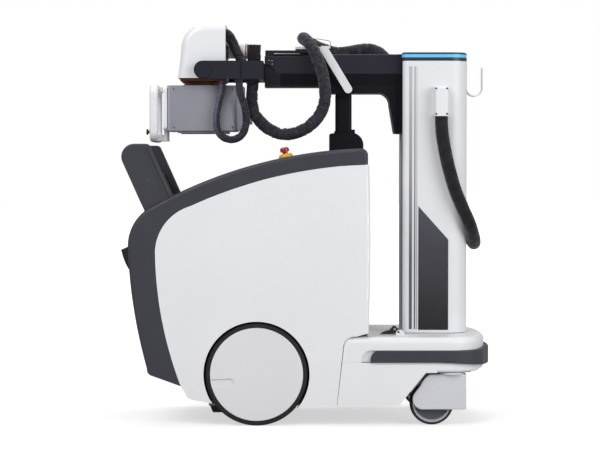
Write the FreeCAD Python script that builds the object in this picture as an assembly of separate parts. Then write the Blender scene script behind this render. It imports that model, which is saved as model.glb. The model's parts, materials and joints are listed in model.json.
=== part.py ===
import FreeCAD, Part
import math
import os

# A motor driven mobile x-ray machine, parked with its arm on the dock.
# Millimetres.  +X points to the front (column end), +Z up, the floor is Z = 0,
# and the origin is the centre of the machine's footprint.

Vector = FreeCAD.Vector
NODES = {}

# Driving sizes of the whole machine
BODY_WIDTH = 555.0
NOSE_X = 641.5
TAIL_X = -641.5
FLOOR_CLEARANCE = 62.0
WALL = 4.0
SKIRT_WALL = 4.0
PANEL_GAP = 0.6
SEAT = 0.3
RUNNING_FIT = 0.05
SIDE_Y = BODY_WIDTH / 2

# Console body
BODY_FRONT_X = 213.0
BODY_TOP_Z = 942.0
BAND_LOWER_Z = 887.0
COVER_DEPTH = 45.0
BAND_EDGE_ROUND = 12.0
COVER_EDGE_ROUND = 12.0

# Base
BASE_SPLIT_Z = 217.5
BASE_TOP_Z = 301.0
BASE_NOSE_X = 624.0
BASE_BOW_R = 620.0
BASE_CORNER_R = 110.0
DECK_Z = 181.0
DECK_THICK = 8.0
FLOOR_THICK = 8.0
ARCH_FOOT_X = 314.0
ARCH_HEAD_X = 400.0
TOP_EDGE_ROUND = 22.0

# Frame posts
FLOOR_REAR_X = -334.0
REAR_POST_X = -312.0
DECK_REAR_X = -384.0
REAR_BEAM_Z = 561.0
WING_REAR_X = 430.0
FRONT_POST_X = 90.0

# Bumper
BUMPER_Z0 = 216.0
BUMPER_Z1 = 257.0
BUMPER_NOSE_Z0 = 199.0
BUMPER_REAR_X = 218.0
BUMPER_PROUD = 6.0
BUMPER_SINK = 8.0
RECESS_REAR_X = 188.0

# Drive wheels
DRIVE_X = -169.0
DRIVE_R = 175.0
ARCH_GAP = 5.0
CAP_R = 158.0
RIM_R = 140.0
CAP_FACE_Y = 277.0
CAP_THICK = 7.0
TYRE_WIDTH = 44.0
AXLE_R = 12.5
HUB_R = 36.0
MOTOR_R = 48.0
MOTOR_INNER_Y = 60.0
MOTOR_OUTER_Y = 214.0

# Casters
CASTER_X = 493.5
CASTER_Y = SIDE_Y - 45.5
CASTER_TRAIL = 66.0
CASTER_R = 75.0
CASTER_TYRE_THICK = 9.0
CASTER_WHEEL_WIDTH = 34.0
CASTER_COVER_WIDTH = 62.0
CASTER_COVER_WALL = 8.0
CASTER_COVER_Z0 = 54.5
CASTER_COVER_Z1 = 174.0
CASTER_STEM_R = 14.0
CASTER_PLATE_R = 44.0
CASTER_AXLE_R = 6.0
CASTER_SOCKET_HEIGHT = 50.0

# Column and mast
COLUMN_X = 447.5
COLUMN_WIDTH = 228.0
COLUMN_DEPTH = 220.0
COLUMN_WALL = 9.0
COLUMN_FRONT_ROUND = 60.0
COLUMN_REAR_ROUND = 18.0
COLUMN_FOOT_Z = 303.0
COLUMN_TOP_Z = 1247.0
SPIGOT_R = 70.0
SPIGOT_DEPTH = 95.0
MAST_SIZE = 150.0
MAST_WALL = 8.0
TRACK_SLOT = 64.0
TRACK_FOOT_Z = 340.0
CAP_TOP_Z = COLUMN_TOP_Z + 30.0
LED_Z0 = COLUMN_TOP_Z + 12.0
LED_Z1 = COLUMN_TOP_Z + 23.0

# Arm
ARM_TOP_Z = COLUMN_TOP_Z + 25.0
ARM_MID_Z = 1204.0
ARM_LOW_Z = 1165.0
ARM_BOTTOM_Z = 1136.6
ARM_HALF = 75.0
ARM_HALF_LOW = 62.0
ARM_WALL = 6.0
ARM_MOUTH_X = 86.5
ARM_END_X = -145.0
ARM_TAIL_X = 315.0
ARM_SLIDE_GAP = 0.4
BACKPLATE_THICK = 12.0
TRAY_TOP_Z = 1287.0
TRAY_THICK = 9.0

# Dock
DOCK_X = 131.5
DOCK_POST_LENGTH = 57.0
DOCK_POST_HALF = 34.0
DOCK_TOP_Z = 997.0
DOCK_PAD = 5.0

# Head
ROLL_Z = 1214.0
HEAD_X = -356.0
FORK_HALF = 156.0
FORK_PLATE = 12.0
FORK_HEIGHT = 62.0
BOSS_R = 28.0
CROSSBAR_X0 = -164.0
CROSSBAR_X1 = -146.5
ROLL_PIN_R = 24.0
TILT_PIN_R = 14.0
TUBE_HALF = 128.0
TUBE_REAR_X = -279.0
TUBE_BOTTOM_Z = 1187.0
TUBE_TOP_Z = 1374.0
TUBE_WALL = 4.0
TURNTABLE_R = 79.0
FLANGE_Z0 = 1176.0
TURNTABLE_Z0 = 1163.0

# Collimator
COLL_REAR_X = -241.0
COLL_FRONT_X = -484.0
COLL_HALF = 100.0
COLL_TOP_Z = 1162.6
COLL_BOTTOM_Z = 1004.0
COLL_ROUND = 22.0
HANDLE_X0 = -544.0
HANDLE_X1 = -515.0
HANDLE_HALF = 112.0
HANDLE_TOP_Z = 1166.0
HANDLE_BOTTOM_Z = 966.0
HANDLE_BAR = 26.0

# Hoses
HOSE_D = 40.0
CORD_D = 25.0
SLEEVE_D = 45.0
CONNECTOR_Z = 1287.0
CONNECTOR_R = 26.0
HOSE_X = -187.0


def side(y):
    return lambda a, b: Vector(a, y, b)


def plan(z):
    return lambda a, b: Vector(a, b, z)


def front(x):
    return lambda a, b: Vector(x, a, b)


def closed_wire(place, start, *steps):
    """A closed outline: a step is a point, or (via, end) for an arc."""
    edges = []
    here = place(*start)
    for step in steps:
        if isinstance(step[0], tuple):
            via, end = step
            edges.append(Part.Arc(here, place(*via), place(*end)).toShape())
            here = place(*end)
        else:
            edges.append(Part.LineSegment(here, place(*step)).toShape())
            here = place(*step)
    if here.distanceToPoint(place(*start)) > 1e-6:
        edges.append(Part.LineSegment(here, place(*start)).toShape())
    return Part.Wire(edges)


def slab(outline, y0, y1):
    """A side view outline carried across the machine from y0 to y1."""
    face = Part.Face(closed_wire(side(y0), *outline))
    return face.extrude(Vector(0, y1 - y0, 0))


def plate(outline, z0, z1):
    """A plan view outline carried up from z0 to z1."""
    face = Part.Face(closed_wire(plan(z0), *outline))
    return face.extrude(Vector(0, 0, z1 - z0))


def bar(outline, x0, x1):
    """A front view outline carried along the machine from x0 to x1."""
    face = Part.Face(closed_wire(front(x0), *outline))
    return face.extrude(Vector(x1 - x0, 0, 0))


def block(x0, x1, y0, y1, z0, z1):
    return Part.makeBox(x1 - x0, y1 - y0, z1 - z0, Vector(x0, y0, z0))


def rounded(a0, a1, b0, b1, r):
    """The outline of a rectangle with round corners."""
    k = r * (1 - math.sqrt(0.5))
    return ((a0 + r, b0), (a1 - r, b0), ((a1 - k, b0 + k), (a1, b0 + r)),
            (a1, b1 - r), ((a1 - k, b1 - k), (a1 - r, b1)),
            (a0 + r, b1), ((a0 + k, b1 - k), (a0, b1 - r)),
            (a0, b0 + r), ((a0 + k, b0 + k), (a0 + r, b0)))


def rod(start, end, radius):
    axis = end - start
    return Part.makeCylinder(radius, axis.Length, start, axis)


def spun(outline, place, centre, axis):
    """A ring or disc turned from its half section."""
    face = Part.Face(closed_wire(place, *outline))
    return face.revolve(centre, axis, 360)


def round_edges(shape, radius, test):
    edges = [edge for edge in shape.Edges if test(edge)]
    return shape.makeFillet(radius, edges)


def mid(edge):
    return edge.valueAt((edge.FirstParameter + edge.LastParameter) / 2)


def fuse(shapes):
    body = shapes[0].fuse(shapes[1:])
    return body.removeSplitter()


def mirrored(shape):
    return shape.mirror(Vector(0, 0, 0), Vector(0, 1, 0))


def both_sides(name, shape):
    """The shape is the near one, on the right hand of someone facing the front."""
    NODES[name + "_right"] = shape
    NODES[name + "_left"] = mirrored(shape)


# Side view outlines of the console body
BAND_OUTER = (
    (BODY_FRONT_X - 4, BAND_LOWER_Z), (BODY_FRONT_X - 4, BODY_TOP_Z - 25),
    ((BODY_FRONT_X - 11, BODY_TOP_Z - 7), (BODY_FRONT_X - 29, BODY_TOP_Z)),
    ((-195.0, 882.0), (-540.0, 736.0)),
    ((-588.0, 682.0), (-605.5, 615.0)),
    ((-592.0, 440.0), (-541.0, 192.0)),
    ((-536.5, 179.0), (-526.0, 171.5)),
    (-426.5, 135.5))
BAND_INNER = (
    ((-497.0, 400.0), (-513.0, 594.0)),
    ((-487.0, 676.0), (-393.0, 747.0)),
    ((-96.0, 848.0), (BODY_FRONT_X - 4, BAND_LOWER_Z)))


def body_outline():
    """The whole console body in side view, closed along its front and foot."""
    return BAND_OUTER + ((BODY_FRONT_X - 4, 135.5),)


def console_band():
    """The dark cover over the sloping top and the rear, with its side cheeks."""
    crescent = slab(BAND_OUTER + BAND_INNER, -SIDE_Y, SIDE_Y)

    def outer_rim(edge):
        spot = mid(edge)
        on_side = abs(abs(spot.y) - SIDE_Y) < 0.01
        return on_side and (spot.z > 925 or spot.x < -560 or abs(spot.x + 190) < 40)

    crescent = round_edges(crescent, BAND_EDGE_ROUND, outer_rim)
    inside = closed_wire(side(0), *body_outline()).makeOffset2D(-WALL)
    cavity = Part.Face(inside).extrude(Vector(0, 2 * (SIDE_Y - WALL), 0))
    cavity.translate(Vector(0, -(SIDE_Y - WALL), 0))
    return crescent.cut(cavity)


# The white side cover, its seam with the base cover and its wheel arch
SIDE_SEAM = (
    (BODY_FRONT_X, 316.0), (170.0, 303.5),
    ((135.5, 291.0), (125.5, 262.0)), (120.0, BASE_SPLIT_Z), (103.5, 60.0))


def side_cover_outline():
    foot = ((-30.0, 59.0), (-324.0, 77.0), (-393.0, 90.0), (-404.0, 97.0))
    right_edge = ((BODY_FRONT_X + 5.5, 598.0), (BODY_FRONT_X, 338.0))
    return (((-426.5, 135.5),) + BAND_INNER + ((BODY_FRONT_X, BAND_LOWER_Z - 1),)
            + (right_edge,) + SIDE_SEAM + foot)


def side_cover():
    wire_out = closed_wire(side(-SIDE_Y), *side_cover_outline()).makeOffset2D(-PANEL_GAP)
    panel = Part.Face(wire_out).extrude(Vector(0, COVER_DEPTH, 0))
    front_rim = lambda e: mid(e).x > 205 and abs(mid(e).y + SIDE_Y) < 0.01 and e.Length > 300
    panel = round_edges(panel, COVER_EDGE_ROUND, front_rim)
    wire_in = closed_wire(side(-SIDE_Y + WALL), *side_cover_outline())
    wire_in = wire_in.makeOffset2D(-PANEL_GAP - WALL)
    panel = panel.cut(Part.Face(wire_in).extrude(Vector(0, COVER_DEPTH, 0)))
    arch = rod(Vector(DRIVE_X, -SIDE_Y - 1, DRIVE_R),
               Vector(DRIVE_X, -SIDE_Y + COVER_DEPTH + 1, DRIVE_R), DRIVE_R + ARCH_GAP)
    return panel.cut(arch)


def front_panel():
    """The white wall of the body that faces the column."""
    bulge = BODY_FRONT_X + 5.5
    outline = ((BODY_FRONT_X - 4, BAND_LOWER_Z - 1), (BODY_FRONT_X, BAND_LOWER_Z - 1),
               ((bulge, 598.0), (BODY_FRONT_X, 338.0)), (BODY_FRONT_X, 304.0),
               (BODY_FRONT_X - WALL, 304.0), (BODY_FRONT_X - WALL, 338.0),
               ((bulge - WALL, 598.0), (BODY_FRONT_X - 4, BAND_LOWER_Z - 1)))
    half = SIDE_Y - COVER_DEPTH - PANEL_GAP
    return slab(outline, -half, half)


def base_plan(grow, nose, rear_x):
    """Plan outline of the base: straight sides, round shoulders, bowed nose."""
    half = SIDE_Y + grow
    bow = BASE_BOW_R + nose - BASE_NOSE_X
    corner = BASE_CORNER_R + grow
    bow_x = nose - bow
    corner_x = bow_x + math.sqrt((bow - corner) ** 2 - (half - corner) ** 2)
    lean = math.atan2(half - corner, corner_x - bow_x)
    shoulder = (bow_x + bow * math.cos(lean), bow * math.sin(lean))
    halfway = (lean + math.pi / 2) / 2
    via = (corner_x + corner * math.cos(halfway), half - corner + corner * math.sin(halfway))
    return ((rear_x, -half), (corner_x, -half),
            ((via[0], -via[1]), (shoulder[0], -shoulder[1])),
            ((nose, 0.0), shoulder), (via, (corner_x, half)), (rear_x, half))


def bumper_side(rear, grow):
    """Side view of the bumper strip, round at its rear top end."""
    z0, z1 = BUMPER_Z0 - grow, BUMPER_Z1 + grow
    return ((rear, z0), ((rear + 7.0, z1 - 12.0), (rear + 26.0, z1)), (700.0, z1),
            (700.0, BUMPER_NOSE_Z0 - grow), (640.0, BUMPER_NOSE_Z0 - grow),
            ((540.0, z0 - 5.0), (430.0, z0)))


def bumper_body(rear, grow):
    outer = plate(base_plan(BUMPER_PROUD + grow, NOSE_X + grow, 60.0), 150.0, 300.0)
    inner = plate(base_plan(-BUMPER_SINK - grow, BASE_NOSE_X - BUMPER_SINK - grow, 40.0),
                  140.0, 310.0)
    strip = slab(bumper_side(rear, grow), -400.0, 400.0)
    return outer.cut(inner).common(strip)


def recess_lining(rear_x, z0, z1):
    """A thick ring inside the cover that the bumper's recess is cut into."""
    deep = BUMPER_SINK + SEAT + WALL
    ring = plate(base_plan(-1.0, BASE_NOSE_X - 1.0, rear_x), z0, z1)
    return ring.cut(plate(base_plan(-deep, BASE_NOSE_X - deep, rear_x - 10), z0 - 1, z1 + 1))


def front_bumper():
    strip = bumper_body(BUMPER_REAR_X, 0.0)

    def outside(edge):
        spot = mid(edge)
        far = abs(spot.y) > SIDE_Y + BUMPER_PROUD - 0.1 or spot.x > BASE_NOSE_X
        return far and abs(spot.z - BUMPER_Z1) < 0.1

    return round_edges(strip, 6.0, outside)


def base_top_cover():
    outline = base_plan(0.0, BASE_NOSE_X, 60.0)
    body = plate(outline, BASE_SPLIT_Z, BASE_TOP_Z)
    top_rim = lambda e: abs(mid(e).z - BASE_TOP_Z) < 0.01 and mid(e).x > 70
    body = round_edges(body, TOP_EDGE_ROUND, top_rim)
    inner = plate(base_plan(-WALL, BASE_NOSE_X - WALL, 50.0), BASE_SPLIT_Z - 1, BASE_TOP_Z - WALL)
    inner = round_edges(inner, TOP_EDGE_ROUND - WALL,
                        lambda e: abs(mid(e).z - BASE_TOP_Z + WALL) < 0.01 and mid(e).x > 60)
    body = body.cut(inner)
    reach = PANEL_GAP
    tail = ((170.0 + reach, BASE_TOP_Z + 2), ((136.5 + reach, 291.0), (126.5 + reach, 262.0)),
            (121.0 + reach, BASE_SPLIT_Z - 1), (700.0, BASE_SPLIT_Z - 1), (700.0, BASE_TOP_Z + 2))
    body = body.common(slab(tail, -400.0, 400.0))
    body = body.fuse(recess_lining(RECESS_REAR_X - 12, BASE_SPLIT_Z, BUMPER_Z1 + WALL))
    body = body.cut(bumper_body(RECESS_REAR_X, SEAT))
    spigot = rod(Vector(COLUMN_X, 0, 200), Vector(COLUMN_X, 0, 400), SPIGOT_R + 4.0)
    return body.cut(spigot)


def base_lower_cover():
    """The lower skirt with its slanted caster arch and a closed nose."""
    top = BASE_SPLIT_Z - SEAT
    view = ((104.5 + PANEL_GAP, 69.0), (ARCH_FOOT_X, 69.0), (ARCH_HEAD_X, DECK_Z - 6),
            ((ARCH_HEAD_X + 4, DECK_Z - 1.5), (ARCH_HEAD_X + 12, DECK_Z)),
            (700.0, DECK_Z), (700.0, top), (121.0 + PANEL_GAP, top))
    nose_from = CASTER_X - 50
    body = plate(base_plan(0.0, BASE_NOSE_X, 60.0), 60.0, top).common(slab(view, -400.0, 400.0))
    body = body.cut(block(nose_from, 700.0, -400.0, 400.0, 0.0, 300.0))
    nose = plate(base_plan(0.0, BASE_NOSE_X, nose_from), DECK_Z, top)
    nose = round_edges(nose, 12.0, lambda e: abs(mid(e).z - DECK_Z) < 0.01
                       and mid(e).x > nose_from + 1)
    body = body.fuse(nose)
    inner = plate(base_plan(-SKIRT_WALL, BASE_NOSE_X - SKIRT_WALL, 50.0), 50.0, 230.0)
    inner = inner.cut(block(560.0, 700.0, -400.0, 400.0, 0.0, DECK_Z + DECK_THICK))
    skirt = body.cut(inner).fuse(recess_lining(400.0, BUMPER_NOSE_Z0 - 3, top))
    return skirt.cut(bumper_body(RECESS_REAR_X, SEAT))


def chassis_frame():
    """Welded floor, slanted web and front deck, with posts and sockets."""
    floor_top = FLOOR_CLEARANCE + FLOOR_THICK
    half = 214.0
    deck_top = DECK_Z + DECK_THICK
    web = DECK_THICK * 1.2
    run = ((FLOOR_REAR_X, floor_top), (FLOOR_REAR_X, FLOOR_CLEARANCE), (ARCH_FOOT_X - 16, FLOOR_CLEARANCE),
           (ARCH_HEAD_X - 8, DECK_Z), (558.0, DECK_Z), (558.0, deck_top),
           (ARCH_HEAD_X - 8 - web, deck_top), (ARCH_FOOT_X - 16 - web, floor_top))
    pieces = [slab(run, -half, half)]
    for sign in (-1, 1):
        y0, y1 = sorted((sign * (half - 20), sign * (SIDE_Y - SKIRT_WALL - SEAT)))
        wing = block(WING_REAR_X, 560.0, y0, y1, DECK_Z, deck_top)
        pieces.append(wing.common(plate(base_plan(-SKIRT_WALL - SEAT, BASE_NOSE_X - SKIRT_WALL - SEAT,
                                                  60.0), DECK_Z - 1, deck_top + 1)))
        socket = Vector(CASTER_X, sign * CASTER_Y, DECK_Z)
        pieces.append(rod(socket, socket + Vector(0, 0, CASTER_SOCKET_HEIGHT), CASTER_STEM_R + 12))
        for x in (REAR_POST_X, FRONT_POST_X):
            y0, y1 = sorted((sign * 160.0, sign * 200.0))
            top = REAR_BEAM_Z + 40 if x < 0 else 800.0
            pieces.append(block(x - 20, x + 20, y0, y1, floor_top, top))
        for x, z in ((REAR_POST_X, REAR_BEAM_Z), (FRONT_POST_X, 480.0), (FRONT_POST_X, 760.0)):
            y0, y1 = sorted((sign * 160.0, sign * (SIDE_Y - WALL - SEAT)))
            pieces.append(block(x - 20, x + 20, y0, y1, z, z + 40))
        y0, y1 = sorted((sign * 60.0, sign * 200.0))
        pieces.append(block(DRIVE_X - 70, DRIVE_X - 50, y0, y1, floor_top, 232.0))
        pieces.append(block(DRIVE_X + 50, DRIVE_X + 70, y0, y1, floor_top, 232.0))
    pieces.append(block(DECK_REAR_X, FRONT_POST_X + 20, -200.0, 200.0, 292.0, 300.0))
    pieces.append(block(REAR_POST_X - 20, REAR_POST_X + 20, -200.0, 200.0, REAR_BEAM_Z,
                        REAR_BEAM_Z + 40))
    pieces.append(block(FRONT_POST_X - 20, FRONT_POST_X + 20, -200.0, 200.0, 760.0, 800.0))
    pieces.append(block(-60.0, 200.0, -200.0, 200.0, 800.0, 808.0))
    pieces.append(rod(Vector(COLUMN_X, 0, DECK_Z), Vector(COLUMN_X, 0, BASE_TOP_Z - WALL - 6),
                      SPIGOT_R + 14))
    frame = fuse(pieces)
    top = BASE_TOP_Z + 10
    frame = frame.cut(rod(Vector(COLUMN_X, 0, COLUMN_FOOT_Z - SPIGOT_DEPTH - 2),
                          Vector(COLUMN_X, 0, top), SPIGOT_R + RUNNING_FIT))
    for sign in (-1, 1):
        foot = Vector(CASTER_X, sign * CASTER_Y, DECK_Z - 1)
        frame = frame.cut(rod(foot, foot + Vector(0, 0, CASTER_SOCKET_HEIGHT - 4),
                              CASTER_STEM_R + RUNNING_FIT))
        start = Vector(DRIVE_X, sign * (MOTOR_INNER_Y - 1), DRIVE_R)
        frame = frame.cut(rod(start, Vector(DRIVE_X, sign * (MOTOR_OUTER_Y + 4), DRIVE_R),
                              MOTOR_R + 0.1))
    return frame


def gear_motors():
    """Two gear motors with their wheel shafts."""
    shapes = []
    for sign in (-1, 1):
        inner = Vector(DRIVE_X, sign * MOTOR_INNER_Y, DRIVE_R)
        outer = Vector(DRIVE_X, sign * MOTOR_OUTER_Y, DRIVE_R)
        tip = Vector(DRIVE_X, sign * (CAP_FACE_Y - CAP_THICK - 12), DRIVE_R)
        motor = rod(inner, outer, MOTOR_R)
        feet_y = sorted((sign * 100.0, sign * 180.0))
        feet = block(DRIVE_X - 50, DRIVE_X + 50, feet_y[0], feet_y[1],
                     FLOOR_CLEARANCE + FLOOR_THICK, DRIVE_R - 30)
        shapes.append(fuse([motor, feet, rod(outer, tip, AXLE_R)]))
    return Part.makeCompound(shapes)


def drive_wheel():
    """Near side wheel: a rubber tyre on a cast hub with a flat white cap."""
    place = lambda r, y: Vector(DRIVE_X + r, -y, DRIVE_R)
    centre = Vector(DRIVE_X, 0, DRIVE_R)
    axis = Vector(0, 1, 0)
    cap_back = CAP_FACE_Y - CAP_THICK
    tyre_in = cap_back - SEAT - TYRE_WIDTH
    tyre = spun(((RIM_R + 0.1, tyre_in), (DRIVE_R - 7, tyre_in),
                 ((DRIVE_R - 2, tyre_in + 2), (DRIVE_R, tyre_in + 7)),
                 (DRIVE_R, cap_back - SEAT - 7),
                 ((DRIVE_R - 2, cap_back - SEAT - 2), (DRIVE_R - 7, cap_back - SEAT)),
                 (RIM_R + 0.1, cap_back - SEAT)), place, centre, axis)
    bore = AXLE_R + RUNNING_FIT
    disc = spun(((bore, cap_back - 44), (HUB_R, cap_back - 44), (HUB_R, cap_back - 16),
                 (RIM_R - 10, cap_back - 16), (RIM_R - 10, tyre_in), (RIM_R, tyre_in),
                 (RIM_R, cap_back), (CAP_R, cap_back), (CAP_R, CAP_FACE_Y - 3),
                 ((CAP_R - 1, CAP_FACE_Y - 1.2), (CAP_R - 3.5, CAP_FACE_Y - 0.8)),
                 ((CAP_R / 2, CAP_FACE_Y - 0.2), (0.0, CAP_FACE_Y)),
                 (0.0, cap_back - 11), (bore, cap_back - 11)), place, centre, axis)
    notch_z = -22.0
    notch = rod(Vector(DRIVE_X - 92, -CAP_FACE_Y - 1, DRIVE_R + notch_z),
                Vector(DRIVE_X - 92, -CAP_FACE_Y + 4, DRIVE_R + notch_z), 13.5)
    slot = block(DRIVE_X - CAP_R - 5, DRIVE_X - 92, -CAP_FACE_Y - 1, -CAP_FACE_Y + 4,
                 DRIVE_R + notch_z - 13.5, DRIVE_R + notch_z + 13.5)
    finger = fuse([notch, slot])
    finger.rotate(centre, Vector(0, 1, 0), -3)
    return tyre, disc.cut(finger)


def caster():
    """Near side swivel caster: boxed fork, stem, tyre and hub."""
    wheel_x = CASTER_X - CASTER_TRAIL
    low, high = CASTER_COVER_Z0, CASTER_COVER_Z1
    shape = ((wheel_x - 36, low), (544.0 - 6, low), ((544.0 - 1.8, low + 1.8), (544.0, low + 6)),
             (544.0, high), (wheel_x - 9, high),
             ((wheel_x - 24, high - 13), (wheel_x - 40, high - 38)),
             (wheel_x - 58, high - 62), ((wheel_x - 66, 88.0), (wheel_x - 36, low)))
    half = CASTER_COVER_WIDTH / 2
    gap = half - CASTER_COVER_WALL
    box = slab(shape, -CASTER_Y - half, -CASTER_Y + half)
    box = round_edges(box, 3.0, lambda e: abs(abs(mid(e).y + CASTER_Y) - half) < 0.01
                      and e.Length > 12)
    well = rod(Vector(wheel_x, -CASTER_Y - gap, CASTER_R),
               Vector(wheel_x, -CASTER_Y + gap, CASTER_R), CASTER_R + 5)
    box = box.cut(well)
    top_z = DECK_Z - SEAT
    stem = rod(Vector(CASTER_X, -CASTER_Y, high - 30),
               Vector(CASTER_X, -CASTER_Y, DECK_Z + CASTER_SOCKET_HEIGHT - 8), CASTER_STEM_R)
    head = rod(Vector(CASTER_X, -CASTER_Y, high), Vector(CASTER_X, -CASTER_Y, top_z), CASTER_PLATE_R)
    axle = rod(Vector(wheel_x, -CASTER_Y - half + 1, CASTER_R),
               Vector(wheel_x, -CASTER_Y + half - 1, CASTER_R), CASTER_AXLE_R)
    fork = fuse([box, stem, head, axle])
    place = lambda r, y: Vector(wheel_x + r, -CASTER_Y + y, CASTER_R)
    centre = Vector(wheel_x, -CASTER_Y, CASTER_R)
    wide = CASTER_WHEEL_WIDTH / 2
    inner_r = CASTER_R - CASTER_TYRE_THICK
    tyre = spun(((inner_r + 0.1, -wide), (CASTER_R - 5, -wide),
                 ((CASTER_R - 1, -wide / 2), (CASTER_R, 0.0)),
                 ((CASTER_R - 1, wide / 2), (CASTER_R - 5, wide)), (inner_r + 0.1, wide)),
                place, centre, Vector(0, 1, 0))
    bore = CASTER_AXLE_R + RUNNING_FIT
    hub = spun(((bore, -wide - 3), (14.0, -wide - 3), (14.0, -6.0), (inner_r - 8, -6.0),
                (inner_r - 6, -wide + 1), (inner_r, -wide + 1), (inner_r, wide - 1),
                (inner_r - 6, wide - 1), (inner_r - 8, 6.0), (14.0, 6.0), (14.0, wide + 3),
                (bore, wide + 3)), place, centre, Vector(0, 1, 0))
    return fork, tyre, hub


# Column
def column_section(grow, reach=0.0):
    """Plan of the column: tight rear corners and wide round front corners."""
    x0 = COLUMN_X - COLUMN_WIDTH / 2 - grow
    x1 = COLUMN_X + COLUMN_WIDTH / 2 + grow
    y = COLUMN_DEPTH / 2 + grow
    rear = COLUMN_REAR_ROUND + grow + reach
    nose = COLUMN_FRONT_ROUND + grow + reach
    kr = rear * (1 - math.sqrt(0.5))
    kn = nose * (1 - math.sqrt(0.5))
    return ((x0 + rear, -y), (x1 - nose, -y), ((x1 - kn, -y + kn), (x1, -y + nose)),
            (x1, y - nose), ((x1 - kn, y - kn), (x1 - nose, y)), (x0 + rear, y),
            ((x0 + kr, y - kr), (x0, y - rear)), (x0, -y + rear),
            ((x0 + kr, -y + kr), (x0 + rear, -y)))


GROOVE_EDGES = ((357.0, 367.5), (374.5, 379.5), (383.0, 385.0))
GROOVE_DEPTH = 1.6
GROOVE_TOP_Z = 1228.0
GROOVE_FOOT_Z = 315.0
STRIPE_X0 = 389.5
STRIPE_X1 = 493.5
STRIPE_Z = (313.0, 627.0, 743.5)
STRIPE_THICK = 1.2


def column_profile():
    """The extruded column with its rear track slot and side grooves."""
    body = plate(column_section(0.0), COLUMN_FOOT_Z, COLUMN_TOP_Z)
    room = plate(rounded(COLUMN_X - COLUMN_WIDTH / 2 + COLUMN_WALL,
                         COLUMN_X + COLUMN_WIDTH / 2 - COLUMN_WALL * 2,
                         -COLUMN_DEPTH / 2 + COLUMN_WALL * 2, COLUMN_DEPTH / 2 - COLUMN_WALL * 2,
                         30.0), COLUMN_FOOT_Z + 12, COLUMN_TOP_Z + 1)
    body = body.cut(room)
    slot = block(COLUMN_X - COLUMN_WIDTH / 2 - 1, COLUMN_X - 80, -TRACK_SLOT / 2, TRACK_SLOT / 2,
                 TRACK_FOOT_Z, COLUMN_TOP_Z + 1)
    body = body.cut(slot)
    face = COLUMN_DEPTH / 2
    for x0, x1 in GROOVE_EDGES:
        for sign in (-1, 1):
            y0, y1 = sorted((sign * (face - GROOVE_DEPTH), sign * (face + 1)))
            body = body.cut(block(x0, x1, y0, y1, GROOVE_FOOT_Z, GROOVE_TOP_Z))
    return body


def stripe_panel():
    z0, z_right, z_left = STRIPE_Z
    outline = ((STRIPE_X0, z0), (STRIPE_X1, z0), (STRIPE_X1, z_right), (STRIPE_X0, z_left))
    return slab(outline, -COLUMN_DEPTH / 2 - STRIPE_THICK, -COLUMN_DEPTH / 2)


def column_foot():
    """The turning foot: a plate under the column and a spigot in the bearing."""
    disc = rod(Vector(COLUMN_X, 0, BASE_TOP_Z + SEAT), Vector(COLUMN_X, 0, COLUMN_FOOT_Z), 104.0)
    spigot = rod(Vector(COLUMN_X, 0, COLUMN_FOOT_Z - SPIGOT_DEPTH),
                 Vector(COLUMN_X, 0, COLUMN_FOOT_Z), SPIGOT_R)
    bore = rod(Vector(COLUMN_X, 0, COLUMN_FOOT_Z - SPIGOT_DEPTH - 1),
               Vector(COLUMN_X, 0, COLUMN_FOOT_Z + 1), 40.0)
    return fuse([disc, spigot]).cut(bore)


JUNCTION_X0 = 442.0
JUNCTION_X1 = 490.5
JUNCTION_Z0 = 1054.6
JUNCTION_Z1 = 1157.0
JUNCTION_PROUD = 48.0
SLEEVE_Y = 135.0


def junction_boxes():
    """Cable outlets on the two flanks of the column, open at the bottom."""
    face = COLUMN_DEPTH / 2
    boxes = []
    cover = block(JUNCTION_X0, JUNCTION_X1, -face - JUNCTION_PROUD, -face, JUNCTION_Z0, JUNCTION_Z1)
    cover = round_edges(cover, 9.0, lambda e: mid(e).y < -face - JUNCTION_PROUD + 0.01
                        and abs(mid(e).z - JUNCTION_Z0) > 0.01)
    ears = block(JUNCTION_X0 - 8, JUNCTION_X1 + 8, -face - 2.5, -face, JUNCTION_Z0, JUNCTION_Z1)
    shell = fuse([cover, ears])
    for x in (JUNCTION_X0 - 3.5, JUNCTION_X1 + 3.5):
        for z in (JUNCTION_Z0 + 7, JUNCTION_Z1 - 7):
            shell = shell.fuse(rod(Vector(x, -face - 4.5, z), Vector(x, -face - 2, z), 2.6))
    boxes.append(shell)
    boxes.append(mirrored(shell))
    return Part.makeCompound(boxes)


def cable_hook():
    """A bent strip on the front of the column that carries coiled leads."""
    strip = 3.5
    face = COLUMN_X + COLUMN_WIDTH / 2
    tip = face + 60.0
    foot, top = 1127.0, 1240.0
    r = (tip - face) / 2
    outer = ((face, top), (face, foot + r), ((face + r, foot), (tip, foot + r)), (tip, top - 12),
             (tip - strip, top - 12), (tip - strip, foot + r),
             ((face + r, foot + strip), (face + strip, foot + r)), (face + strip, top))
    return slab(outer, -22.0, 22.0)


def mast():
    """The lifting mast inside the column."""
    half = MAST_SIZE / 2
    outer = plate(rounded(COLUMN_X - half, COLUMN_X + half, -half, half, 16.0),
                  TRACK_FOOT_Z + 20, COLUMN_TOP_Z + SEAT)
    inner = plate(rounded(COLUMN_X - half + MAST_WALL, COLUMN_X + half - MAST_WALL,
                          -half + MAST_WALL, half - MAST_WALL, 10.0),
                  TRACK_FOOT_Z, COLUMN_TOP_Z + 10)
    return outer.cut(inner)


def column_cap():
    cap = plate(column_section(0.0), COLUMN_TOP_Z + SEAT, CAP_TOP_Z)
    cap = round_edges(cap, 5.0, lambda e: abs(mid(e).z - CAP_TOP_Z) < 0.01)
    ring = plate(column_section(1.0), LED_Z0, LED_Z1).cut(plate(column_section(-2.0), LED_Z0, LED_Z1))
    return cap.cut(ring)


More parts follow.
